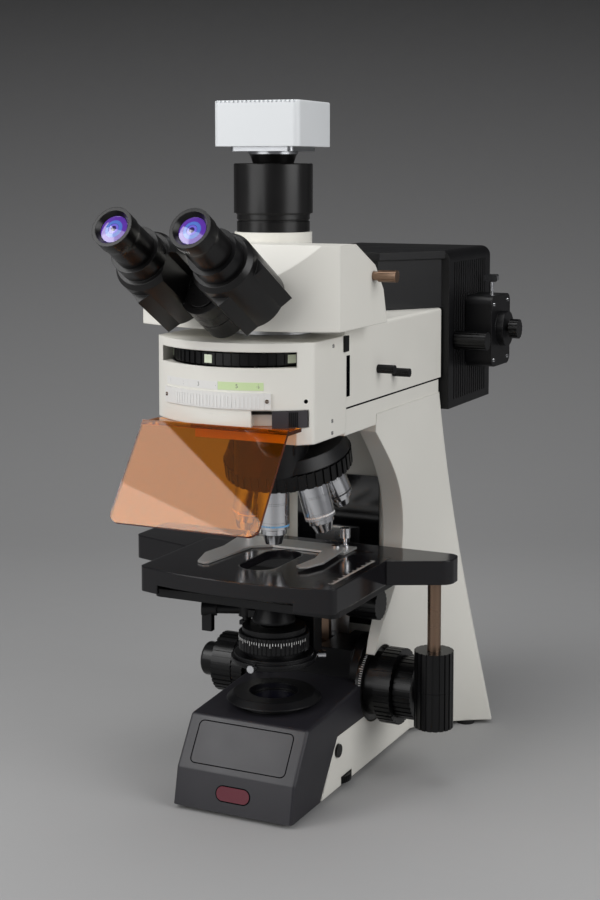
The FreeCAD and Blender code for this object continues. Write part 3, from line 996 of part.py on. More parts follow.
def lamp_house():
    """Ribbed black lamp house with collector, burner, reflector and socket box."""
    shell = block(-LAMP_HALF, LAMP_HALF, LAMP_FRONT, LAMP_REAR, LAMP_BOTTOM, LAMP_TOP)
    shell = soften(shell, 10, Y, lambda c: c.z > LAMP_TOP - 1)
    room = block(-LAMP_HALF + LAMP_WALL + 3, LAMP_HALF - LAMP_WALL - 3, LAMP_FRONT + LAMP_WALL,
                 LAMP_REAR - LAMP_WALL, LAMP_BOTTOM + LAMP_WALL, LAMP_TOP - LAMP_WALL)
    grooves = []
    count = int((LAMP_REAR - LAMP_FRONT - 24) / LAMP_RIB_PITCH)
    for i in range(count):
        y = LAMP_FRONT + 14 + i * LAMP_RIB_PITCH
        for side in (-1, 1):
            x = side * LAMP_HALF
            grooves.append(block(x - 2, x + 2, y, y + 3, LAMP_BOTTOM + 8, LAMP_TOP - 12))
    beam = rod(21, V(0, LAMP_FRONT - 5, EPI_Z), V(0, LAMP_FRONT + 10, EPI_Z))
    shell = shell.cut([room, beam, across(3 + FIT, 60, 100, COLLECTOR_Y, COLLECTOR_Z)] + grooves)
    keep("lamp_house", shell)
    cowl = slab([(-LAMP_NECK_HALF, LAMP_NECK_FRONT), (LAMP_NECK_HALF, LAMP_NECK_FRONT),
                 (LAMP_HALF - 8, LAMP_FRONT - SEAM), (-LAMP_HALF + 8, LAMP_FRONT - SEAM)], TUBE_TOP + SEAM, LAMP_TOP - 8)
    lid = slab([(-LAMP_NECK_HALF - 3, LAMP_NECK_FRONT - 3), (LAMP_NECK_HALF + 3, LAMP_NECK_FRONT - 3),
                (LAMP_HALF - 4, LAMP_FRONT - SEAM), (-LAMP_HALF + 4, LAMP_FRONT - SEAM)], LAMP_TOP - 8, LAMP_TOP)
    keep("lamp_house", join(cowl, lid))
    keep("lamp_house", tube(32, 21, V(0, TUBE_REAR, EPI_Z), V(0, LAMP_FRONT, EPI_Z)))
    keep("collector_lens", join(tube(26, 18, V(0, COLLECTOR_Y - 6, EPI_Z), V(0, COLLECTOR_Y + 6, EPI_Z)),
                                rod(18, V(0, COLLECTOR_Y - 3, EPI_Z), V(0, COLLECTOR_Y + 3, EPI_Z))))
    knob = grip(9.5, 0.8, 1.6, 16, V(LAMP_HALF + 1, COLLECTOR_Y, COLLECTOR_Z), V(LAMP_HALF + 34, COLLECTOR_Y, COLLECTOR_Z))
    keep("collector_knob", join(knob, across(3, 25.5, LAMP_HALF + 2, COLLECTOR_Y, COLLECTOR_Z)))
    bulb = join(Part.makeSphere(10, V(0, 300, EPI_Z)), upright(4, EPI_Z - 36, EPI_Z - 8, 0, 300),
                upright(4, EPI_Z + 8, EPI_Z + 32, 0, 300))
    keep("burner", bulb)
    keep("burner", join(upright(9, LAMP_BOTTOM + LAMP_WALL, EPI_Z - 36, 0, 300),
                               block(0, LAMP_HALF - 7, 294, 306, LAMP_BOTTOM + LAMP_WALL, LAMP_BOTTOM + 12)))
    mirror = Part.makeSphere(34, V(0, 300, EPI_Z)).cut(Part.makeSphere(31, V(0, 300, EPI_Z)))
    mirror = mirror.common(block(-60, 60, 318, 360, EPI_Z - 30, EPI_Z + 30))
    keep("burner", join(mirror, rod(4, V(0, 332, EPI_Z), V(0, LAMP_REAR - LAMP_WALL, EPI_Z))))

    box = block(LAMP_HALF, LAMP_HALF + SOCKET_DEPTH, SOCKET_FRONT, SOCKET_REAR, SOCKET_BOTTOM, SOCKET_TOP)
    box = soften(box, 9, X)
    hub = across(18, LAMP_HALF + SOCKET_DEPTH, LAMP_HALF + SOCKET_DEPTH + 8, 308, 398)
    keep("socket_box", join(box, hub).cut(across(3 + FIT, LAMP_HALF + 10, 200, 308, 398)))
    end = LAMP_HALF + SOCKET_DEPTH + 8
    keep("lamp_centring_knob", join(across(3, LAMP_HALF + 11, end + 4, 308, 398),
                                    grip(10, 0.8, 1.5, 16, V(end + 3, 308, 398), V(end + 12, 308, 398))))
    tee = join(upright(2.5, SOCKET_TOP + RUN, SOCKET_TOP + 16, LAMP_HALF + 14, 318),
               soften(block(LAMP_HALF + 7, LAMP_HALF + 21, 315, 321, SOCKET_TOP + 12, SOCKET_TOP + 20), 2, Y))
    keep("lamp_clamp_screw", tee)


def controls():
    """Lamp button and brightness wheel on the right side of the base."""
    keep("lamp_button", across(BUTTON_RADIUS, BASE_HALF - 6, BASE_HALF + 2, BUTTON_Y, BUTTON_Z))
    x = BASE_HALF + WHEEL_PROUD - WHEEL_RADIUS
    low = BASE_FLOOR + 0.8
    wheel = grip(WHEEL_RADIUS, 0.6, 1.4, 40, V(x, WHEEL_Y, low), V(x, WHEEL_Y, low + WHEEL_THICK))
    keep("brightness_wheel", wheel)


def build():
    base()
    stand()
    lamp_train()
    focus_drive()
    stage()
    condenser()
    nosepiece()
    illuminator()
    shield()
    head()
    eyepieces()
    phototube()
    lamp_house()
    controls()


def export():
    os.makedirs("parts", exist_ok=True)
    for name, solids in NODES.items():
        shape = solids[0] if len(solids) == 1 else Part.makeCompound(solids)
        shape.translate(V(AXIS_X, AXIS_Y, 0))
        shape.exportStep("parts/%s.step" % name)
        print(name, len(solids), "valid" if shape.isValid() else "NOT VALID", round(shape.Volume / 1000, 1))


build()
export()
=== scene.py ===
# %% [markdown]
# # An upright fluorescence microscope
# The shapes that carry load or move come from the CAD frame. This lesson dresses them: it gives
# each casting, knob and lens the finish of the real one, splits nodes that hold several materials,
# and adds the small things that are only printed, engraved or pressed in.

# %% Load the frame
import json
import math

import bmesh
import bpy
from mathutils import Matrix, Vector


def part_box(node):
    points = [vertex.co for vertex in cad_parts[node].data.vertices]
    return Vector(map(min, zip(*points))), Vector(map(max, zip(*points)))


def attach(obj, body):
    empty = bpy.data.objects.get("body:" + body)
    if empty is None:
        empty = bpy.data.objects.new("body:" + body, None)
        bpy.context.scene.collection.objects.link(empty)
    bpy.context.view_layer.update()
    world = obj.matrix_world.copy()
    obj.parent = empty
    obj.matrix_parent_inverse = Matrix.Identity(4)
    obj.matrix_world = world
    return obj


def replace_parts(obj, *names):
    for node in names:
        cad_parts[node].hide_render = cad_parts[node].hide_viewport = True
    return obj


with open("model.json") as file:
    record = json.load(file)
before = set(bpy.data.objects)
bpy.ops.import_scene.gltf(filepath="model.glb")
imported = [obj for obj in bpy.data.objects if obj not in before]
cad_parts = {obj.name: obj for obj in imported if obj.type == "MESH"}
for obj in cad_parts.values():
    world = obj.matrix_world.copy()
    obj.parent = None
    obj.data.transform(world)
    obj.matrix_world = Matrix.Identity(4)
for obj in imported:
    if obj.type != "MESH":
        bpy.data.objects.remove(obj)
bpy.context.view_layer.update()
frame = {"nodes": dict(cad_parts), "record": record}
print("pieces from the frame:", len(frame["nodes"]))

# %% [markdown]
# The microscope was measured from its optical axis, which runs up through the phototube. One helper
# turns millimetres from that axis into the frame's metres, so every size below can be read as it
# would be on a drawing. A second one makes a move by millimetres, for chains of moves and turns.

# %% Millimetres from the optical axis
tube_low, tube_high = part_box("phototube")
AXIS = Vector(((tube_low.x + tube_high.x) / 2, (tube_low.y + tube_high.y) / 2, 0))
X, Y, Z = Vector((1, 0, 0)), Vector((0, 1, 0)), Vector((0, 0, 1))


def mm(x, y, z):
    return Vector((x, y, z)) / 1000 + AXIS


def shift(x, y, z):
    return Matrix.Translation(Vector((x, y, z)) / 1000)


print("optical axis at %.1f, %.1f mm" % (AXIS.x * 1000, AXIS.y * 1000))


# %% [markdown]
# Colours are written as they look on a screen, in sRGB hex, and turned to the linear values that
# the renderer mixes. Materials are built from nodes: one small helper adds a node, sets its sockets
# by name and links it where a socket is given instead of a number.

# %% Colour and node helpers
def srgb(code):
    parts = [int(code[i:i + 2], 16) / 255 for i in (0, 2, 4)]
    linear = (p / 12.92 if p <= 0.04045 else ((p + 0.055) / 1.055) ** 2.4 for p in parts)
    return tuple(linear) + (1.0,)


def add(tree, kind, **settings):
    """A node with its settings. A key is an option of the node or a socket's name, and in0, in1
    stand for a socket's number where names repeat."""
    made = tree.nodes.new(kind)
    for key, value in settings.items():
        if hasattr(made, key):
            setattr(made, key, value)
            continue
        numbered = key[:2] == "in" and key[2:].isdigit()
        socket = made.inputs[int(key[2:]) if numbered else key.replace("_", " ")]
        if isinstance(value, bpy.types.NodeSocket):
            tree.links.new(value, socket)
        else:
            socket.default_value = value
    return made


# %% [markdown]
# Most of the microscope is painted or moulded, and what the eye reads there is a slight waviness in
# the gloss and a fine grain in the bump. Both are noise on Object coordinates, with the grain's
# scale worked out from its real size in millimetres. Real powder coat has a grain near 0.3 mm,
# which is finer than a pixel here, so it is drawn about three times as coarse. Real edges are never
# sharp either: the Bevel node bends the shading over the last millimetre, where paint and casting
# catch a thin line of light.

# %% Coated, moulded and metal finishes
DRIFT_SCALE = 28.0
DRIFT_LOW, DRIFT_HIGH = 0.3, 0.7
SMOOTHEST = 0.02
BUMP_STRENGTH = 0.6


def finish(name, colour, roughness, grain_mm=0.0, depth=0.0, uneven=0.04, tint=0.06, edge_mm=0.0,
           **sockets):
    """Opaque finish: a colour that drifts a little, uneven gloss, a grain and soft edges."""
    material = bpy.data.materials.new(name)
    material.use_nodes = True
    tree = material.node_tree
    shader = tree.nodes["Principled BSDF"]
    place = add(tree, "ShaderNodeTexCoord")
    drift = add(tree, "ShaderNodeTexNoise", Vector=place.outputs["Object"], Scale=DRIFT_SCALE,
                Detail=3.0)
    pale = tuple(min(1.0, c * (1 + tint)) for c in srgb(colour)[:3]) + (1.0,)
    dark = tuple(c * (1 - tint) for c in srgb(colour)[:3]) + (1.0,)
    mixed = add(tree, "ShaderNodeMix", data_type="RGBA", in0=drift.outputs["Fac"], in6=dark,
                in7=pale)
    tree.links.new(mixed.outputs[2], shader.inputs["Base Color"])
    gloss = add(tree, "ShaderNodeMapRange", Value=drift.outputs["Fac"],
                From_Min=DRIFT_LOW, From_Max=DRIFT_HIGH,
                To_Min=max(SMOOTHEST, roughness - uneven), To_Max=roughness + uneven)
    tree.links.new(gloss.outputs["Result"], shader.inputs["Roughness"])
    normal = None
    if edge_mm:
        normal = add(tree, "ShaderNodeBevel", samples=4, Radius=edge_mm / 1000).outputs["Normal"]
        tree.links.new(normal, shader.inputs["Normal"])
    if depth:
        grain = add(tree, "ShaderNodeTexNoise", Vector=place.outputs["Object"],
                    Scale=1000 / grain_mm, Detail=2.0)
        bump = add(tree, "ShaderNodeBump", Height=grain.outputs["Fac"], Distance=depth / 1000,
                   Strength=BUMP_STRENGTH)
        if normal:
            tree.links.new(normal, bump.inputs["Normal"])
        tree.links.new(bump.outputs["Normal"], shader.inputs["Normal"])
    for key, value in sockets.items():
        shader.inputs[key.replace("_", " ")].default_value = value
    return material


# powder-coated castings: smooth, warm white, half gloss
POWDER_WHITE = finish("powder_coat_white", "E6E4DC", 0.40, 1.1, 0.02, tint=0.012, edge_mm=1.6)
# cast parts in black structure paint: the grain breaks up the gloss
STRUCTURE_BLACK = finish("structure_paint_black", "0C0C0E", 0.38, 0.9, 0.10, tint=0.2,
                         edge_mm=1.2, Specular_IOR_Level=0.32)
# injection-moulded base cover: leather-like grain, greyer where light grazes it
MOULDED_COVER = finish("moulded_abs_cover", "242328", 0.40, 0.8, 0.12, tint=0.15)
# moulded knobs: tighter, smoother skin
MOULDED_KNOB = finish("moulded_abs_knob", "0A0A0B", 0.30, 1.0, 0.03, tint=0.2,
                      Specular_IOR_Level=0.32)
# the shutter's slider is moulded a shade lighter
SLIDER_GREY = finish("moulded_slider_grey", "39363A", 0.38, 1.0, 0.04, tint=0.1)
# black anodised aluminium of tubes and eyepieces: a soft gloss that runs along the barrels
ANODISED_BLACK = finish("anodised_black", "0A0909", 0.30, 0.7, 0.02, tint=0.15, edge_mm=0.8,
                        Specular_IOR_Level=0.4)
# the stage plate is anodised and polished, so it mirrors the objectives
STAGE_BLACK = finish("polished_stage_black", "121114", 0.13, uneven=0.02, tint=0.1, edge_mm=2.0,
                     Specular_IOR_Level=0.42)
# the plate on the column: glossy black, with lights in it as clear as in a dark mirror
GLOSS_PANEL = finish("gloss_panel_black", "08080A", 0.10, uneven=0.02)
# ground steel slides and shafts: cool grey with a wide, soft highlight
STAINLESS = finish("stainless_satin", "B9BABC", 0.30, 0.5, 0.01, tint=0.04, Metallic=1.0)
# thin spring steel of the specimen holder: matt, so it stays pale over the dark plate
HOLDER_STEEL = finish("holder_steel_matt", "C6C6C4", 0.45, 0.5, 0.01, tint=0.04, edge_mm=0.5,
                      Metallic=0.75)
# plated barrels and screws: bright metal that shows the room in streaks along it
NICKEL_SILVER = finish("nickel_plate_polished", "DCDDE0", 0.15, uneven=0.03, tint=0.02,
                       Metallic=1.0)
# the collar at the condenser's knob: warm yellow, with a narrow turned highlight
TURNED_BRASS = finish("turned_brass", "C49A5C", 0.24, uneven=0.05, Metallic=1.0)
# tubes of the stage drive and the pull rod: browned steel
DRIVE_STEEL = finish("browned_steel", "8C7462", 0.30, uneven=0.05, Metallic=0.9)
# the camera's painted shell: a cooler white than the stand's
CAMERA_WHITE = finish("camera_shell_white", "DFE2E4", 0.38, 0.9, 0.02, tint=0.01, edge_mm=0.8)
# the camera's mount: dull silver without clear reflections
CAMERA_SILVER = finish("camera_foot_anodised", "A9ABAE", 0.32, uneven=0.04, Metallic=0.9)
# feet: dark rubber that shows hardly any highlight
RUBBER = finish("foot_rubber", "141414", 0.85, 0.8, 0.05)
# ticks and other printing: flat white, brighter than anything round it
LABEL_WHITE = finish("printed_white", "E8E8E6", 0.5, tint=0.01)
# frosted plastic over the number strip: milky white with a soft gloss
LABEL_GREY = finish("scale_window_frosted", "E4E3E0", 0.35, tint=0.02)
# the strip's second part and the circuit board: pale green
LABEL_GREEN = finish("scale_window_green", "CFE3AE", 0.35, tint=0.03)
# tiles in the turret's wheel: white with a cast of green
TILE_WHITE = finish("number_tile_white", "E3EBD2", 0.35, tint=0.02)
# the strip's numbers: mid grey, weak on the white
INK_GREY = finish("printed_grey", "6A6A6A", 0.5, tint=0.02)
# fine turned lines and filter cubes: almost black, half matt
INK_DARK = finish("printed_black", "202020", 0.5, tint=0.02)
# gaps and grooves: black without any gloss, because no light comes back out
GROOVE = finish("shadow_groove", "08080A", 0.8, tint=0.05, Specular_IOR_Level=0.0)
# the display window: deep wine red behind a smooth surface
RED_WINDOW = finish("display_window_red", "622B35", 0.25, uneven=0.02)
# rings on the objectives: clean enamel colours that stand out on the metal
BAND_BLUE = finish("enamel_band_blue", "6FB2E6", 0.3)
BAND_YELLOW = finish("enamel_band_yellow", "E8CF3E", 0.3)
BAND_WHITE = finish("enamel_band_white", "EDEDED", 0.3)
# painted reflections in the eye lenses: violet outside, blue inside, and a dark pupil of painted
# shade
LENS_REFLECTION_VIOLET = finish("painted_lens_reflection_violet", "5B2AA6", 0.10, uneven=0.01, tint=0.25,
                     Coat_Weight=1.0)
LENS_REFLECTION_BLUE = finish("painted_lens_reflection_blue", "4E72C8", 0.10, uneven=0.01, tint=0.25, Coat_Weight=1.0)
LENS_PUPIL_SHADE = finish("painted_lens_pupil_shade", "2B1256", 0.10, uneven=0.01, tint=0.2, Coat_Weight=1.0)
print("materials so far, with the frame's own:", len(bpy.data.materials))

# %% [markdown]
# The shield is a folded sheet of orange acrylic that stops the exciting light. Acrylic is clear
# plastic with an IOR of 1.49: it takes its colour from what passes through it and still shows
# sharp reflections. Lenses are glass whose coating gives a violet and blue gloss; on the coated
# lenses that gloss is a painted reflection in their colour.

# %% Clear and coated finishes
def clear(name, colour, roughness, ior, transmission=1.0):
    material = bpy.data.materials.new(name)
    material.use_nodes = True
    shader = material.node_tree.nodes["Principled BSDF"]
    for key, value in (("Base Color", srgb(colour)), ("Roughness", roughness), ("IOR", ior),
                       ("Transmission Weight", transmission)):
        shader.inputs[key].default_value = value
    return material


# the shield: glowing orange, deeper where the sheet is seen edge on
ORANGE_ACRYLIC = clear("orange_acrylic", "FF9A1E", 0.02, 1.49, transmission=0.97)
# lens glass: clear, with a trace of blue
GLASS = clear("optical_glass", "EAF4F6", 0.02, 1.52)

# coated lenses, with a painted reflection: violet where they face the eye, deep blue where they
# turn away
COATED_LENS = finish("coated_lens", "3A2F8C", 0.06, uneven=0.01, tint=0.2, Coat_Weight=1.0,
                     Coat_Roughness=0.02)
tree = COATED_LENS.node_tree
# painted reflection: the base colour shifts with the angle between the view and the surface
facing = add(tree, "ShaderNodeLayerWeight", Blend=0.45)
sheen = add(tree, "ShaderNodeMix", data_type="RGBA", in0=facing.outputs["Facing"],
            in6=srgb("7B6BE0"), in7=srgb("1C3A9E"))
tree.links.new(sheen.outputs[2], tree.nodes["Principled BSDF"].inputs["Base Color"])
print("materials with the clear ones:", len(bpy.data.materials))

# %% [markdown]
# A CAD node keeps its mesh and only takes a material. Where one node holds several solids of
# different stuff, such as a knob and its steel shaft, a copy of the mesh is merged and its faces
# are grouped by shell. Solids that touch share an edge, which then has more than two faces, so a
# group only grows over edges with exactly two. Each shell goes to the piece whose test it meets,
# and those pieces then stand for the node.

# %% Painting and splitting nodes
WELD = 1e-6
BODY_OF = {node: body for body, nodes in frame["record"]["behaviour"]["bodies"].items()
           for node in nodes}


def paint(material, *nodes):
    for name in nodes:
        mesh = frame["nodes"][name].data
        mesh.materials.clear()
        mesh.materials.append(material)


def piece(name, bm, material, body, smooth_deg=20):
    """Makes an object from a bmesh, smooth up to an edge angle, and lets it ride on a body."""
    for face in bm.faces:
        face.smooth = True
    for edge in bm.edges:
        edge.smooth = edge.calc_face_angle(0.0) < math.radians(smooth_deg)
    mesh = bpy.data.meshes.new(name)
    bm.to_mesh(mesh)
    bm.free()
    mesh.materials.append(material)
    made = bpy.data.objects.new(name, mesh)
    bpy.context.scene.collection.objects.link(made)
    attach(made, body)
    return made


def shells(bm):
    """Groups of faces that hang together over edges that only two faces share."""
    left, groups = set(bm.faces), []
    while left:
        group, todo = set(), [left.pop()]
        while todo:
            face = todo.pop()
            group.add(face)
            for edge in face.edges:
                for other in edge.link_faces if len(edge.link_faces) == 2 else ():
                    if other in left:
                        left.remove(other)
                        todo.append(other)
        groups.append(group)
    return groups


def split(node, *rules, change=None):
    """Each rule is (piece name, material, test). A test reads a shell's middle and size in mm.
    change may rework a piece's mesh, by its name."""
    source = bmesh.new()
    source.from_mesh(frame["nodes"][node].data)
    bmesh.ops.remove_doubles(source, verts=source.verts, dist=WELD)
    source.faces.index_update()
    chosen = {rule[0]: set() for rule in rules}
    for group in shells(source):
        points = [v.co for face in group for v in face.verts]
        low = Vector([min(p[i] for p in points) for i in range(3)])
        high = Vector([max(p[i] for p in points) for i in range(3)])
        middle, size = ((low + high) / 2 - AXIS) * 1000, (high - low) * 1000
        for name, material, test in rules:
            if test(middle, size):
                chosen[name] |= {face.index for face in group}
                break
    for name, material, test in rules:
        if not chosen[name]:
            print("no shell for", name)
            continue
        bm = source.copy()
        bm.faces.index_update()
        others = [f for f in bm.faces if f.index not in chosen[name]]
        bmesh.ops.delete(bm, geom=others, context="FACES")
        if change and name in change:
            change[name](bm)
        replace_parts(piece(name, bm, material, BODY_OF[node]), node)
    source.free()


def rest(middle, size):
    """The test that every shell meets which no test before it has taken."""
    return True


# %% [markdown]
# First the plain ones. White castings carry the optics, black ones the specimen, and everything the
# user grips is moulded plastic.

# %% Plain nodes
paint(POWDER_WHITE, "stand_frame", "illuminator_tube", "turret_housing")
paint(GLOSS_PANEL, "column_plate")
paint(STRUCTURE_BLACK, "focus_carriage", "stage_frame", "condenser_carrier", "nosepiece_mount",
      "focus_housing", "condenser_body", "swing_lens_arm", "socket_box", "aperture_ring",
      "lamp_house")
paint(STAGE_BLACK, "stage_top", "x_drive_housing")
paint(SLIDER_GREY, "shutter_slider")
paint(MOULDED_KNOB, "tension_ring", "focus_lock_ring", "condenser_knob", "nosepiece",
      "filter_turret", "field_iris", "aperture_iris", "diopter_ring", "collector_knob",
      "lamp_centring_knob", "lamp_button", "brightness_wheel")
paint(ANODISED_BLACK, "right_tube_block", "left_tube_block", "phototube", "camera_adapter",
      "eyepiece_pin")
paint(STAINLESS, "focus_guide", "base_lamp")
paint(HOLDER_STEEL, "specimen_holder", "holder_finger")
paint(NICKEL_SILVER, "holder_screws", "centring_screws", "objectives", "lamp_clamp_screw",
      "burner")
paint(DRIVE_STEEL, "beam_splitter", "focus_rack")
paint(ORANGE_ACRYLIC, "shield")
paint(GLASS, "collector_lens")
paint(INK_DARK, "filter_cubes")
print("materials on the frame's nodes:",
      len({node.data.materials[0].name for node in frame["nodes"].values()}))

# %% [markdown]
# Then the nodes that hold more than one material. The tests use only a shell's place and size, so
# they still hold if the frame is built again. The base cover also gets its moulded radius: its flat
# faces are dissolved to single faces first, so that the bevel runs evenly along each edge.

# %% Split nodes
# the base's front in side view, from the bench up: its toe, the bend across it, and its brow
TOE, KNEE, BROW = mm(0, -84, 4), mm(0, -77, 36), mm(0, -50, 77)
COVER_RADIUS = 0.0035
FLAT_ANGLE, EDGE_ANGLE = math.radians(0.4), math.radians(15)
SIDE_NEAR, KNEE_NEAR = 2e-5, 1e-4
# edges that start behind this depth, or end below this height, stay sharp
ROUNDED_TO_Y, ROUNDED_FROM_Z = 0.003, 0.006
WINDOW_LIFT = Vector((0, -0.00035, 0.00008))


def lift_window(bm):
    """Lets the display window stand a little proud of the cover."""
    bmesh.ops.translate(bm, verts=bm.verts, vec=WINDOW_LIFT)


def round_cover(bm):
    """Closes the cover behind its window, then rounds its side edges and the bend at its front."""
    bmesh.ops.holes_fill(bm, edges=[e for e in bm.edges if e.is_boundary], sides=0)
    bmesh.ops.dissolve_limit(bm, angle_limit=FLAT_ANGLE, verts=bm.verts[:], edges=bm.edges[:])
    side = max(abs(v.co.x - AXIS.x) for v in bm.verts)
    knee = KNEE - AXIS
    chosen = []
    for edge in bm.edges:
        a, b = (v.co - AXIS for v in edge.verts)
        on_side = (all(abs(abs(p.x) - side) < SIDE_NEAR for p in (a, b))
                   and min(a.y, b.y) < ROUNDED_TO_Y)
        across = all(abs(p.z - knee.z) < KNEE_NEAR and abs(p.y - knee.y) < KNEE_NEAR
                     for p in (a, b))
        outward = (max(a.z, b.z) > ROUNDED_FROM_Z and edge.is_manifold
                   and edge.calc_face_angle(0) > EDGE_ANGLE)
        if outward and (on_side or across) and edge.is_convex:
            chosen.append(edge)
    bmesh.ops.bevel(bm, geom=chosen, offset=COVER_RADIUS, segments=4, profile=0.5,
                    affect="EDGES", material=-1)
    print("cover edges rounded:", len(chosen))


split("base_cover", ("display_window", RED_WINDOW, lambda m, s: s.x < 40),
      ("cover_shell", MOULDED_COVER, rest),
      change={"display_window": lift_window, "cover_shell": round_cover})
split("bottom_plate_and_feet", ("rubber_feet", RUBBER, lambda m, s: s.x < 30),
      ("bottom_plate", STRUCTURE_BLACK, rest))
split("field_lens_ring", ("field_lens", COATED_LENS, lambda m, s: s.x < 45),
      ("field_collar", STRUCTURE_BLACK, rest))
split("focus_housing", ("scale_flanges", ANODISED_BLACK, lambda m, s: abs(m.x) > 51),
      ("focus_block", STRUCTURE_BLACK, rest))
split("coarse_drive", ("coarse_shaft", STAINLESS, lambda m, s: s.y < 20),
      ("coarse_knobs", MOULDED_KNOB, rest))
split("fine_drive", ("fine_shaft", STAINLESS, lambda m, s: s.y < 10),
      ("fine_knobs", MOULDED_KNOB, rest))
split("y_drive_knob", ("y_drive_tube", DRIVE_STEEL, lambda m, s: s.x < 20),
      ("y_drive_grip", MOULDED_KNOB, rest))
split("x_drive_knob", ("x_drive_shaft", DRIVE_STEEL, lambda m, s: s.x < 20),
      ("x_drive_grip", MOULDED_KNOB, rest))
split("head_body", ("head_dovetail", STAINLESS, lambda m, s: s.z < 20),
      ("head_casting", POWDER_WHITE, rest))
for side in ("right", "left"):
    split(side + "_eyepiece", (side + "_eye_lens", COATED_LENS, lambda m, s: s.x < 26),
          (side + "_ocular", ANODISED_BLACK, rest))
split("camera_body", ("camera_mount", CAMERA_SILVER, lambda m, s: m.z < 584),
      ("sensor_board", LABEL_GREEN, lambda m, s: s.x < 78), ("camera_shell", CAMERA_WHITE, rest))

# %% [markdown]
# Marks are thin plates laid over the surface they are printed on. Each is a cube that is scaled and
# turned, and a whole scale goes into one piece. A mark's place is given by its middle, the way
# along it and the way out of the surface. On every scale, one tick in so many is longer.

# %% Marks and scales
def laid(middle, along, out):
    """The place of a thing on a surface: its X runs along, its Z points out."""
    along, out = along.normalized(), out.normalized()
    turn = Matrix((along, out.cross(along), out)).transposed().to_4x4()
    return Matrix.Translation(middle) @ turn


def mark(bm, middle, along, out, length, width, thick=0.15):
    """One thin plate, in mm, with its back on the surface."""
    scale = Matrix.Diagonal((length / 1000, width / 1000, thick / 1000, 1.0))
    place = laid(middle + out.normalized() * thick / 2000, along, out)
    bmesh.ops.create_cube(bm, size=1.0, matrix=place @ scale)


def tick(i, every, long, short):
    return short if i % every else long


# the ruler runs back along the stage's right edge, 2 mm from tick to tick
RULER_X, RULER_Y, STAGE_Z = 86.5, -60, 212
ruler = bmesh.new()
for i in range(46):
    long = tick(i, 5, 5.0, 2.6)
    mark(ruler, mm(RULER_X - long / 2, RULER_Y + 2 * i, STAGE_Z), X, Z, long, width=0.45,
         thick=0.08)
stage_ruler = piece("stage_ruler", ruler, LABEL_WHITE, "stage_slide")

# ticks hang from the aperture ring's upper edge, on the side towards the user
RING_RADIUS, RING_TOP = 0.0321, 142.5
ring_scale = bmesh.new()
for i in range(36):
    turn = math.radians(200 + 4.5 * i)
    out = Vector((math.cos(turn), math.sin(turn), 0))
    tall = tick(i, 4, 4.2, 2.4)
    mark(ring_scale, mm(0, 0, RING_TOP - tall / 2) + out * RING_RADIUS, Z, out, tall, width=0.5,
         thick=0.1)
piece("aperture_scale", ring_scale, LABEL_WHITE, "aperture")

# a hundred ticks on each flange, beside the coarse knobs
FLANGE_RADIUS, FLANGE_X, DRIVE_Y, DRIVE_Z = 0.035, 57.6, 98, 77
for side, name in ((1, "right"), (-1, "left")):
    flange = bmesh.new()
    for i in range(100):
        turn = math.radians(3.6 * i)
        out = Vector((0, math.cos(turn), math.sin(turn)))
        wide = tick(i, 10, 4.0, 2.4)
        mark(flange, mm(side * (FLANGE_X - wide / 2), DRIVE_Y, DRIVE_Z) + out * FLANGE_RADIUS,
             X, out, wide, width=0.5, thick=0.08)
    piece("focus_scale_" + name, flange, LABEL_WHITE, "stand")
print("the ruler is %.1f mm long" % (stage_ruler.dimensions.y * 1000))

# %% [markdown]
# The filter positions show as numbers on a strip below the turret's ribbed wheel, pale green where
# the next filters wait. The strip follows the bowed front, a circle of 99.7 mm radius, so it is
# made of short plates, each turned to face outwards from that circle. Below it a frosted window
# with upright ribs takes the place of the frame's plain cover. Six tiles sit in the wheel, one for
# each filter, and turn with it.

# %% Strip, numbers, window and tiles
# steps along the bow are in degrees, sizes in mm
BOW_RADIUS = 99.7
BOW_MIDDLE_Y = -8.28
STRIP_Z, STRIP_HEIGHT = 382.6, 6.6
NUMBER_STEP, NUMBER_HEIGHT, CAP_SHARE = 10.4, 3.4, 0.7
WINDOW_Z, WINDOW_HEIGHT, WINDOW_THICK = 370.4, 13.6, 1.7
RIB_STEP, RIB_HEIGHT = 1.9, 9.5
WHEEL_RADIUS, WHEEL_MIDDLE_Y, WHEEL_Z = 69.7, -37.5, 404.5


def on_bow(turn_deg, z, lift=0.0, radius=BOW_RADIUS, middle_y=BOW_MIDDLE_Y):
    """A point on the bowed front, the way out of it there and the way along it."""
    turn = math.radians(turn_deg)
    out = Vector((math.sin(turn), -math.cos(turn), 0))
    return mm(0, middle_y, z) + out * (radius + lift) / 1000, out, Z.cross(out)


def bowed_plate(bm, start, end, z, height, lift, thick, pieces=8):
    """Plates side by side along the bow, each a little too wide, so that no gap opens."""
    for k in range(pieces):
        middle, out, along = on_bow(start + (end - start) * (k + 0.5) / pieces, z, lift)
        wide = math.radians((end - start) / pieces) * BOW_RADIUS * 1.004
        mark(bm, middle, along, out, wide, height, thick)


def lettering(name, text, height, middle, along, out, material, body):
    """Flat text, made a mesh before it is put in place."""
    curve = bpy.data.curves.new(name, "FONT")
    curve.body, curve.size = text, height / 1000 / CAP_SHARE
    curve.align_x, curve.align_y = "CENTER", "CENTER"
    source = bpy.data.objects.new(name + "_text", curve)
    mesh = bpy.data.meshes.new_from_object(source)
    bpy.data.objects.remove(source)
    bm = bmesh.new()
    bm.from_mesh(mesh)
    bmesh.ops.transform(bm, matrix=laid(middle, along, out), verts=bm.verts)
    return piece(name, bm, material, body)


for name, start, end, material in (("strip_white", -34, 1.2, LABEL_GREY),
                                   ("strip_green", 1.3, 24, LABEL_GREEN)):
    strip = bmesh.new()
    bowed_plate(strip, start, end, STRIP_Z, STRIP_HEIGHT, lift=0.02, thick=0.3)
    piece(name, strip, material, "stand")
for number in range(1, 7):
    middle, out, along = on_bow((number - 4) * NUMBER_STEP + 0.6, STRIP_Z, lift=0.34)
    lettering("strip_number_%d" % number, str(number), NUMBER_HEIGHT, middle, along, out,
              INK_GREY, "stand")

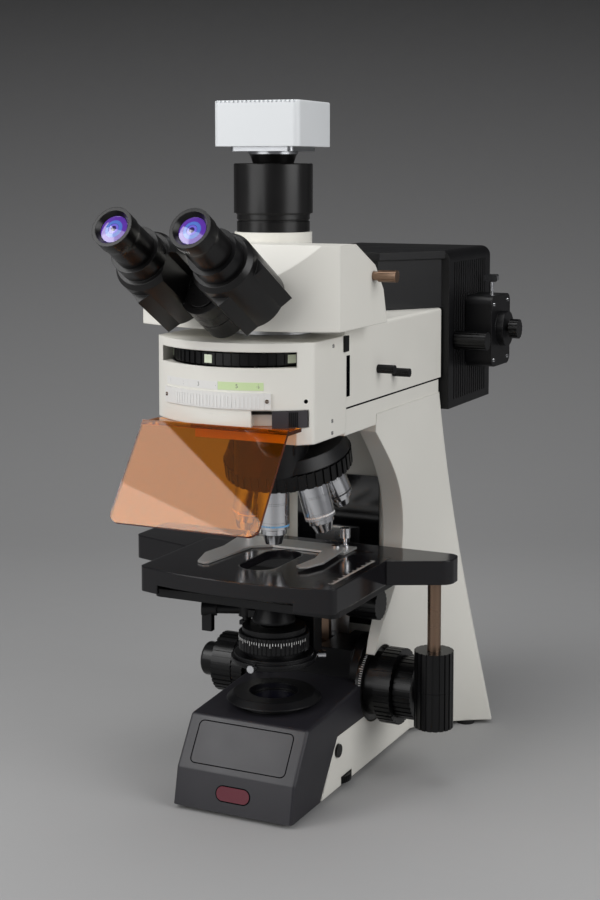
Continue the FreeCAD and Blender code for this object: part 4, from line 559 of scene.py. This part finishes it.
cover = bmesh.new()
bowed_plate(cover, -35, 27.5, WINDOW_Z, WINDOW_HEIGHT, lift=0.05, thick=WINDOW_THICK, pieces=20)
strip_cover = piece("strip_window", cover, LABEL_GREY, "stand")
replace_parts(strip_cover, "strip_cover")
ribs = bmesh.new()
for k in range(25):
    middle, out, along = on_bow(-24 + RIB_STEP * k, WINDOW_Z - 0.8, lift=WINDOW_THICK + 0.05)
    mark(ribs, middle, Z, out, RIB_HEIGHT, width=1.2, thick=0.35)
piece("strip_window_ribs", ribs, LABEL_WHITE, "stand")

tiles = bmesh.new()
for turn in range(-6, 300, 60):
    middle, out, along = on_bow(turn, WHEEL_Z, radius=WHEEL_RADIUS, middle_y=WHEEL_MIDDLE_Y)
    mark(tiles, middle, along, out, 7.4, 7.0, thick=0.6)
wheel_tiles = piece("turret_tiles", tiles, TILE_WHITE, "turret")
print("tiles in the wheel:", len(wheel_tiles.data.polygons) // 6)

# %% [markdown]
# Screws hold the thin covers. Each is a low turned head with a slot across it, laid on its surface
# in the direction that the surface faces. The screws of one cover or housing share one piece.

# %% Screws
SLOT_SHARE = 0.14
TOP_SHARE = 0.86


def upright(middle, out):
    """The place of a round thing on a surface, with its Z out of it."""
    return Matrix.Translation(middle) @ out.to_track_quat("Z", "Y").to_matrix().to_4x4()


def screw(bm, middle, out, radius, tall=0.7):
    """Turned screw head in mm, made of two half heads, with the slot as the gap between them."""
    place = upright(middle, out)
    for side in (-1, 1):
        turns = [math.radians(a) for a in range(0, 181, 15)]
        rim = [Vector((math.cos(t), side * (SLOT_SHARE + (1 - SLOT_SHARE) * math.sin(t)), 0))
               * radius for t in turns]
        raised = Vector((0, side * 0.02 * radius, tall))
        low = [bm.verts.new(place @ (v / 1000)) for v in rim]
        high = [bm.verts.new(place @ ((v * TOP_SHARE + raised) / 1000)) for v in rim]
        bm.faces.new(high)
        for k in range(len(rim)):
            bm.faces.new((low[k - 1], low[k], high[k], high[k - 1]))
    bmesh.ops.recalc_face_normals(bm, faces=bm.faces)


brown_screws = bmesh.new()
for turn in (-33, 25.6):
    middle, out, along = on_bow(turn, WINDOW_Z, lift=WINDOW_THICK + 0.05)
    screw(brown_screws, middle, out, 1.7)
piece("strip_screws", brown_screws, DRIVE_STEEL, "stand")
HOUSING_SIDE_X, SOCKET_SIDE_X = 75.02, 108.02
side_screws = bmesh.new()
for y, z in ((-36.4, 412), (-38.5, 347.8), (-38.5, 337.5)):
    screw(side_screws, mm(HOUSING_SIDE_X, y, z), X, 1.7)
piece("housing_screws", side_screws, STAINLESS, "stand")
box_screws = bmesh.new()
for y, z in ((286, 424), (329, 426), (329, 367), (286, 367)):
    screw(box_screws, mm(SOCKET_SIDE_X, y, z), X, 2.0, tall=1.0)
socket_screws = piece("socket_screws", box_screws, NICKEL_SILVER, "stand")
print("faces of the socket's screws:", len(socket_screws.data.polygons))

# %% [markdown]
# The shutter's slider has a raised grip with fine grooves, where a fingertip pushes it along the
# bow. The ribs ride on the slider.

# %% Grip of the slider
GRIP_STEP = 0.95
grip = bmesh.new()
for k in range(5):
    middle, out, along = on_bow(36.2 + GRIP_STEP * k, 355, lift=1.6)
    mark(grip, middle, Z, out, 12.5, width=0.7, thick=0.7)
piece("slider_grip", grip, MOULDED_KNOB, "shutter")
print("ribs stand %.2f mm apart" % (math.radians(GRIP_STEP) * BOW_RADIUS))

# %% [markdown]
# Dark gaps and inlays come next: the seam between the lamp tube and the arm, the slot in the tube's
# side, drawn as a dark plate of painted shade, the dot beside the shutter and the latch at the
# housing's top edge. A brass collar goes round the shaft of the condenser's knob.

# %% Seams and inlays
TUBE_SIDE_X = 73.0


def band(bm, place, radius, tall, top=None, segments=40):
    """Open cylinder round a place's Z, in mm, or a cone where its top is given another radius."""
    bmesh.ops.create_cone(bm, cap_ends=False, segments=segments, radius1=radius / 1000,
                          radius2=(top or radius) / 1000, depth=tall / 1000, matrix=place)


seams = bmesh.new()
mark(seams, mm(TUBE_SIDE_X, 109, 353.9), Y, X, 236, width=1.5, thick=0.12)
# the slot: a dark plate of painted shade laid on the tube's side
mark(seams, mm(TUBE_SIDE_X, -0.5, 382), Z, X, 36, width=7.0, thick=0.15)
piece("tube_seam_and_slot_shade", seams, GROOVE, "stand")
latch = bmesh.new()
mark(latch, mm(75.0, -11, 411.5), Z, X, 14, width=9, thick=2.0)
bmesh.ops.bevel(latch, geom=latch.edges[:], offset=0.0006, segments=2, profile=0.5,
                affect="EDGES", material=-1)
piece("housing_latch", latch, MOULDED_KNOB, "stand")
dot = bmesh.new()
middle, out, along = on_bow(44.5, 369.5, lift=0.05)
bmesh.ops.create_circle(dot, cap_ends=True, segments=20, radius=0.0018,
                        matrix=upright(middle, out))
piece("shutter_dot", dot, GROOVE, "stand")
collar = bmesh.new()
band(collar, Matrix.Translation(mm(42.2, 66, 162)) @ Matrix.Rotation(math.pi / 2, 4, "Y"),
     radius=6.08, tall=6.6, segments=32)
brass_collar = piece("condenser_collar", collar, TURNED_BRASS, "condenser_drive")
print("the collar is %.1f mm across" % (brass_collar.dimensions.z * 1000))

# %% [markdown]
# An objective's magnification is coded by a coloured enamel ring in a groove near its nose. The
# rings and three fine dark lines on each barrel are short open cylinders, set by the same turns as
# the objectives: out to the pitch circle, round the nosepiece's axis, and leant 15 degrees with it.

# %% Objective rings
NOSE_TILT = math.radians(15)
PITCH_RADIUS, SEAT = 34, 277
RING, LINE = 14.03, 14.02
nose = (Matrix.Translation(mm(0, PITCH_RADIUS * math.cos(NOSE_TILT),
                              SEAT + PITCH_RADIUS * math.sin(NOSE_TILT)))
        @ Matrix.Rotation(NOSE_TILT, 4, "X"))
bands = {"yellow": bmesh.new(), "blue": bmesh.new(), "white": bmesh.new(), "dark": bmesh.new()}
for place, length, colour in ((0, 51, "blue"), (1, 46, "white"), (2, 40, "dark"),
                              (-1, 51, "yellow"), (-2, 51, "white")):
    barrel = (nose @ Matrix.Rotation(math.radians(60 * place), 4, "Z")
              @ shift(0, -PITCH_RADIUS, 0) @ Matrix.Rotation(-NOSE_TILT, 4, "X"))
    for key, share, radius, tall in ((colour, 0.66, RING, 1.6), ("dark", 0.60, LINE, 0.3),
                                     ("dark", 0.25, LINE, 0.3), ("dark", 0.28, LINE, 0.3)):
        band(bands[key], barrel @ shift(0, 0, -length * share), radius, tall)
for key, material in (("yellow", BAND_YELLOW), ("blue", BAND_BLUE), ("white", BAND_WHITE),
                      ("dark", INK_DARK)):
    rings = piece("objective_rings_" + key, bands[key], material, "revolver")
    print(key, "rings and lines:", len(rings.data.polygons) // 40)

# %% [markdown]
# Coated eye lenses show nested rings, where the coatings and the field stop reflect in turn. These
# reflections are painted: flat rings of two colours and a dark pupil of painted shade lie just over
# each lens and ride with its eyepiece. The diopter scale is a row of short marks round the right
# eyepiece.

# %% Eye lenses and diopter marks
EYE_TILT = math.radians(60)
DIOPTER_RADIUS, DIOPTER_TOP = 17.5, 129.5
PAINTED_LENS_RINGS = (("violet", 7.6, 11.6, 131.2, LENS_REFLECTION_VIOLET), ("blue", 4.6, 7.6, 131.6, LENS_REFLECTION_BLUE),
              ("pupil", 0.2, 4.6, 131.9, LENS_PUPIL_SHADE))


def eyepiece(side):
    """The axis of the eyepiece to the right, side 1, or to the left, side -1."""
    return (Matrix.Translation(mm(0, -94, 450)) @ Matrix.Rotation(EYE_TILT, 4, "X")
            @ shift(side * 35, 0, 0))


for side, name in ((1, "right"), (-1, "left")):
    # each ring is a painted reflection, and the pupil is painted shade
    for ring, inner, outer, height, material in PAINTED_LENS_RINGS:
        bm = bmesh.new()
        band(bm, eyepiece(side) @ shift(0, 0, height), outer, tall=0.5, top=inner)
        piece("%s_lens_%s" % (name, ring), bm, material, name + "_eye")
ticks = bmesh.new()
eye = eyepiece(1)
for k in range(28):
    turn = math.radians(110 + 6 * k)
    out = Vector((math.cos(turn), math.sin(turn), 0))
    tall = tick(k, 4, 4.5, 2.6)
    middle = (out * DIOPTER_RADIUS + Z * (DIOPTER_TOP - tall / 2)) / 1000
    mark(ticks, eye @ middle, eye.to_3x3() @ Z, eye.to_3x3() @ out, tall, width=0.6, thick=0.06)
diopter_marks = piece("diopter_marks", ticks, LABEL_WHITE, "right_eye")
print("diopter marks:", len(diopter_marks.data.polygons) // 6)

# %% [markdown]
# The base's front has a panel with a fine line round it. The line is the ring left over when a
# rounded rectangle is inset. The display window below it is ringed by painted shade of its groove:
# a flat rounded dark plate whose edge shows all round the red.

# %% Panel line and window rim
PANEL_HALF_WIDTH, PANEL_HALF_HEIGHT, PANEL_CORNER = 47.0, 19.5, 5.0
LINE_WIDTH, LINE_LIFT = 0.0009, 0.0002
RIM_SIZE, RIM_CORNER = (0.0340, 0.0142, 0.0006), 0.007


def slope(lower, upper):
    """The way up one face of the base's front, and the way out of it."""
    up = (upper - lower).normalized()
    return up, X.cross(up).normalized()


up, out = slope(KNEE, BROW)
points = []
for sx, sy, start in ((1, 1, 0), (-1, 1, 90), (-1, -1, 180), (1, -1, 270)):
    for step in range(6):
        turn = math.radians(start + 18 * step)
        points.append(((PANEL_HALF_WIDTH - PANEL_CORNER) * sx + PANEL_CORNER * math.cos(turn),
                       (PANEL_HALF_HEIGHT - PANEL_CORNER) * sy + PANEL_CORNER * math.sin(turn)))
middle = (KNEE + BROW) / 2 + out * LINE_LIFT
panel = bmesh.new()
face = panel.faces.new([panel.verts.new(middle + X * a / 1000 + up * b / 1000)
                        for a, b in points])
panel.normal_update()
bmesh.ops.inset_region(panel, faces=[face], thickness=LINE_WIDTH, use_boundary=True,
                       use_even_offset=True)
bmesh.ops.delete(panel, geom=[face], context="FACES_ONLY")
panel_line = piece("panel_line", panel, GROOVE, "stand")

up, out = slope(TOE, KNEE)
# painted shade of the groove round the display window: a dark plate under the red
rim = bmesh.new()
bmesh.ops.create_cube(rim, size=1.0, matrix=Matrix.Diagonal(RIM_SIZE + (1.0,)))
corners = [e for e in rim.edges if abs((e.verts[0].co - e.verts[1].co).z) > 1e-4]
bmesh.ops.bevel(rim, geom=corners, offset=RIM_CORNER, segments=8, profile=0.5, affect="EDGES",
                material=-1)
bmesh.ops.transform(rim, matrix=laid(mm(0, -80.5, 20), X, out), verts=rim.verts)
piece("window_groove_shade", rim, GROOVE, "stand")
print("panel line: %.0f square mm" % (sum(p.area for p in panel_line.data.polygons) * 1e6))

# %% [markdown]
# The set: a sheet of grey paper that lies on the bench and runs up behind the object in one wide
# bend, so no line shows between floor and backdrop. A dim even room light fills the shadows.

# %% Paper sweep and room light
# the paper's sizes are in metres
PAPER_BEND = 1.6
BEND_START, PAPER_FRONT, PAPER_TOP, PAPER_HALF_WIDTH = 0.9, -2.4, 4.0, 4.0
VIEW_FROM = math.radians(26)
paper_path = [(PAPER_FRONT, 0.0), (BEND_START, 0.0)]
for step in range(1, 25):
    turn = math.radians(90 * step / 24)
    paper_path.append((BEND_START + PAPER_BEND * math.sin(turn),
                       PAPER_BEND * (1 - math.cos(turn))))
paper_path.append((BEND_START + PAPER_BEND, PAPER_TOP))
floor = bmesh.new()
rows = [[floor.verts.new((x, y, z)) for x in (-PAPER_HALF_WIDTH, PAPER_HALF_WIDTH)]
        for y, z in paper_path]
for near, far in zip(rows, rows[1:]):
    floor.faces.new((near[0], near[1], far[1], far[0]))
bmesh.ops.rotate(floor, verts=floor.verts, matrix=Matrix.Rotation(VIEW_FROM, 3, "Z"))
for face in floor.faces:
    face.smooth = True
sheet = bpy.data.meshes.new("floor")
floor.to_mesh(sheet)
floor.free()

# grey paper with painted shade: its colour darkens from the floor up the wall, where less light
# reaches it
PAPER = finish("grey_paper", "ACACAC", 0.8, tint=0.01)
tree = PAPER.node_tree
place = add(tree, "ShaderNodeTexCoord")
parts = add(tree, "ShaderNodeSeparateXYZ", Vector=place.outputs["Object"])
height = add(tree, "ShaderNodeMapRange", Value=parts.outputs["Z"], From_Min=0.0, From_Max=1.0,
             To_Min=0.0, To_Max=1.0)
painted_wall_shade = add(tree, "ShaderNodeMix", data_type="RGBA", in0=height.outputs["Result"],
           in6=srgb("A4A4A4"), in7=srgb("484848"))
tree.links.new(painted_wall_shade.outputs[2], tree.nodes["Principled BSDF"].inputs["Base Color"])
sheet.materials.append(PAPER)
ground = bpy.data.objects.new("floor", sheet)
bpy.context.scene.collection.objects.link(ground)

world = bpy.data.worlds.new("studio")
bpy.context.scene.world = world
world.use_nodes = True
background = world.node_tree.nodes["Background"]
background.inputs["Color"].default_value = srgb("BFBFC2")
background.inputs["Strength"].default_value = 0.38
print("rows of the paper:", len(rows))

# %% [markdown]
# Four square soft lamps stand near the object: a key from the front left, a weaker one from the
# right, one from above, and a small one that shows as a streak in the shield. Large lamps give the
# long soft highlights that show a coated casting's shape.

# %% Lamps
def lamp(name, place, aim, size, watts):
    data = bpy.data.lights.new(name, "AREA")
    data.shape, data.size, data.energy = "SQUARE", size, watts
    made = bpy.data.objects.new(name, data)
    made.location = place
    made.rotation_mode = "QUATERNION"
    made.rotation_quaternion = (Vector(aim) - Vector(place)).to_track_quat("-Z", "Y")
    bpy.context.scene.collection.objects.link(made)


lamp("key_left_front", (-0.6, -1.5, 1.0), (0, 0, 0.33), 1.5, 17)
lamp("side_right", (1.5, -0.25, 0.95), (0.05, 0, 0.35), 1.1, 13)
lamp("top_soft", (-0.1, -0.1, 1.7), (0, 0, 0.3), 1.0, 8)
lamp("shield_card", (-0.95, -0.95, 1.25), (0, -0.1, 0.3), 0.7, 5)

# %% [markdown]
# The photograph was taken from 26 degrees to the right of the front, with the lens about as high as
# the phototube. The camera is tipped down a little and shifted for the rest, which keeps uprights
# almost parallel, as they are in the photograph.

# %% Camera
PITCH, AZIMUTH = 5.19, 25.69
data = bpy.data.cameras.new("camera")
data.sensor_width = 36.0
data.lens = 65.0
data.shift_x, data.shift_y = -0.0016, -0.15
camera = bpy.data.objects.new("camera", data)
camera.location = mm(646.9, -1287.5, 563.4)
camera.rotation_euler = (math.radians(90 - PITCH), 0, math.radians(AZIMUTH))
bpy.context.scene.collection.objects.link(camera)
bpy.context.scene.camera = camera
bpy.context.scene.view_settings.view_transform = "Standard"
print("from the camera to the frame's origin: %.2f m" % camera.location.length)
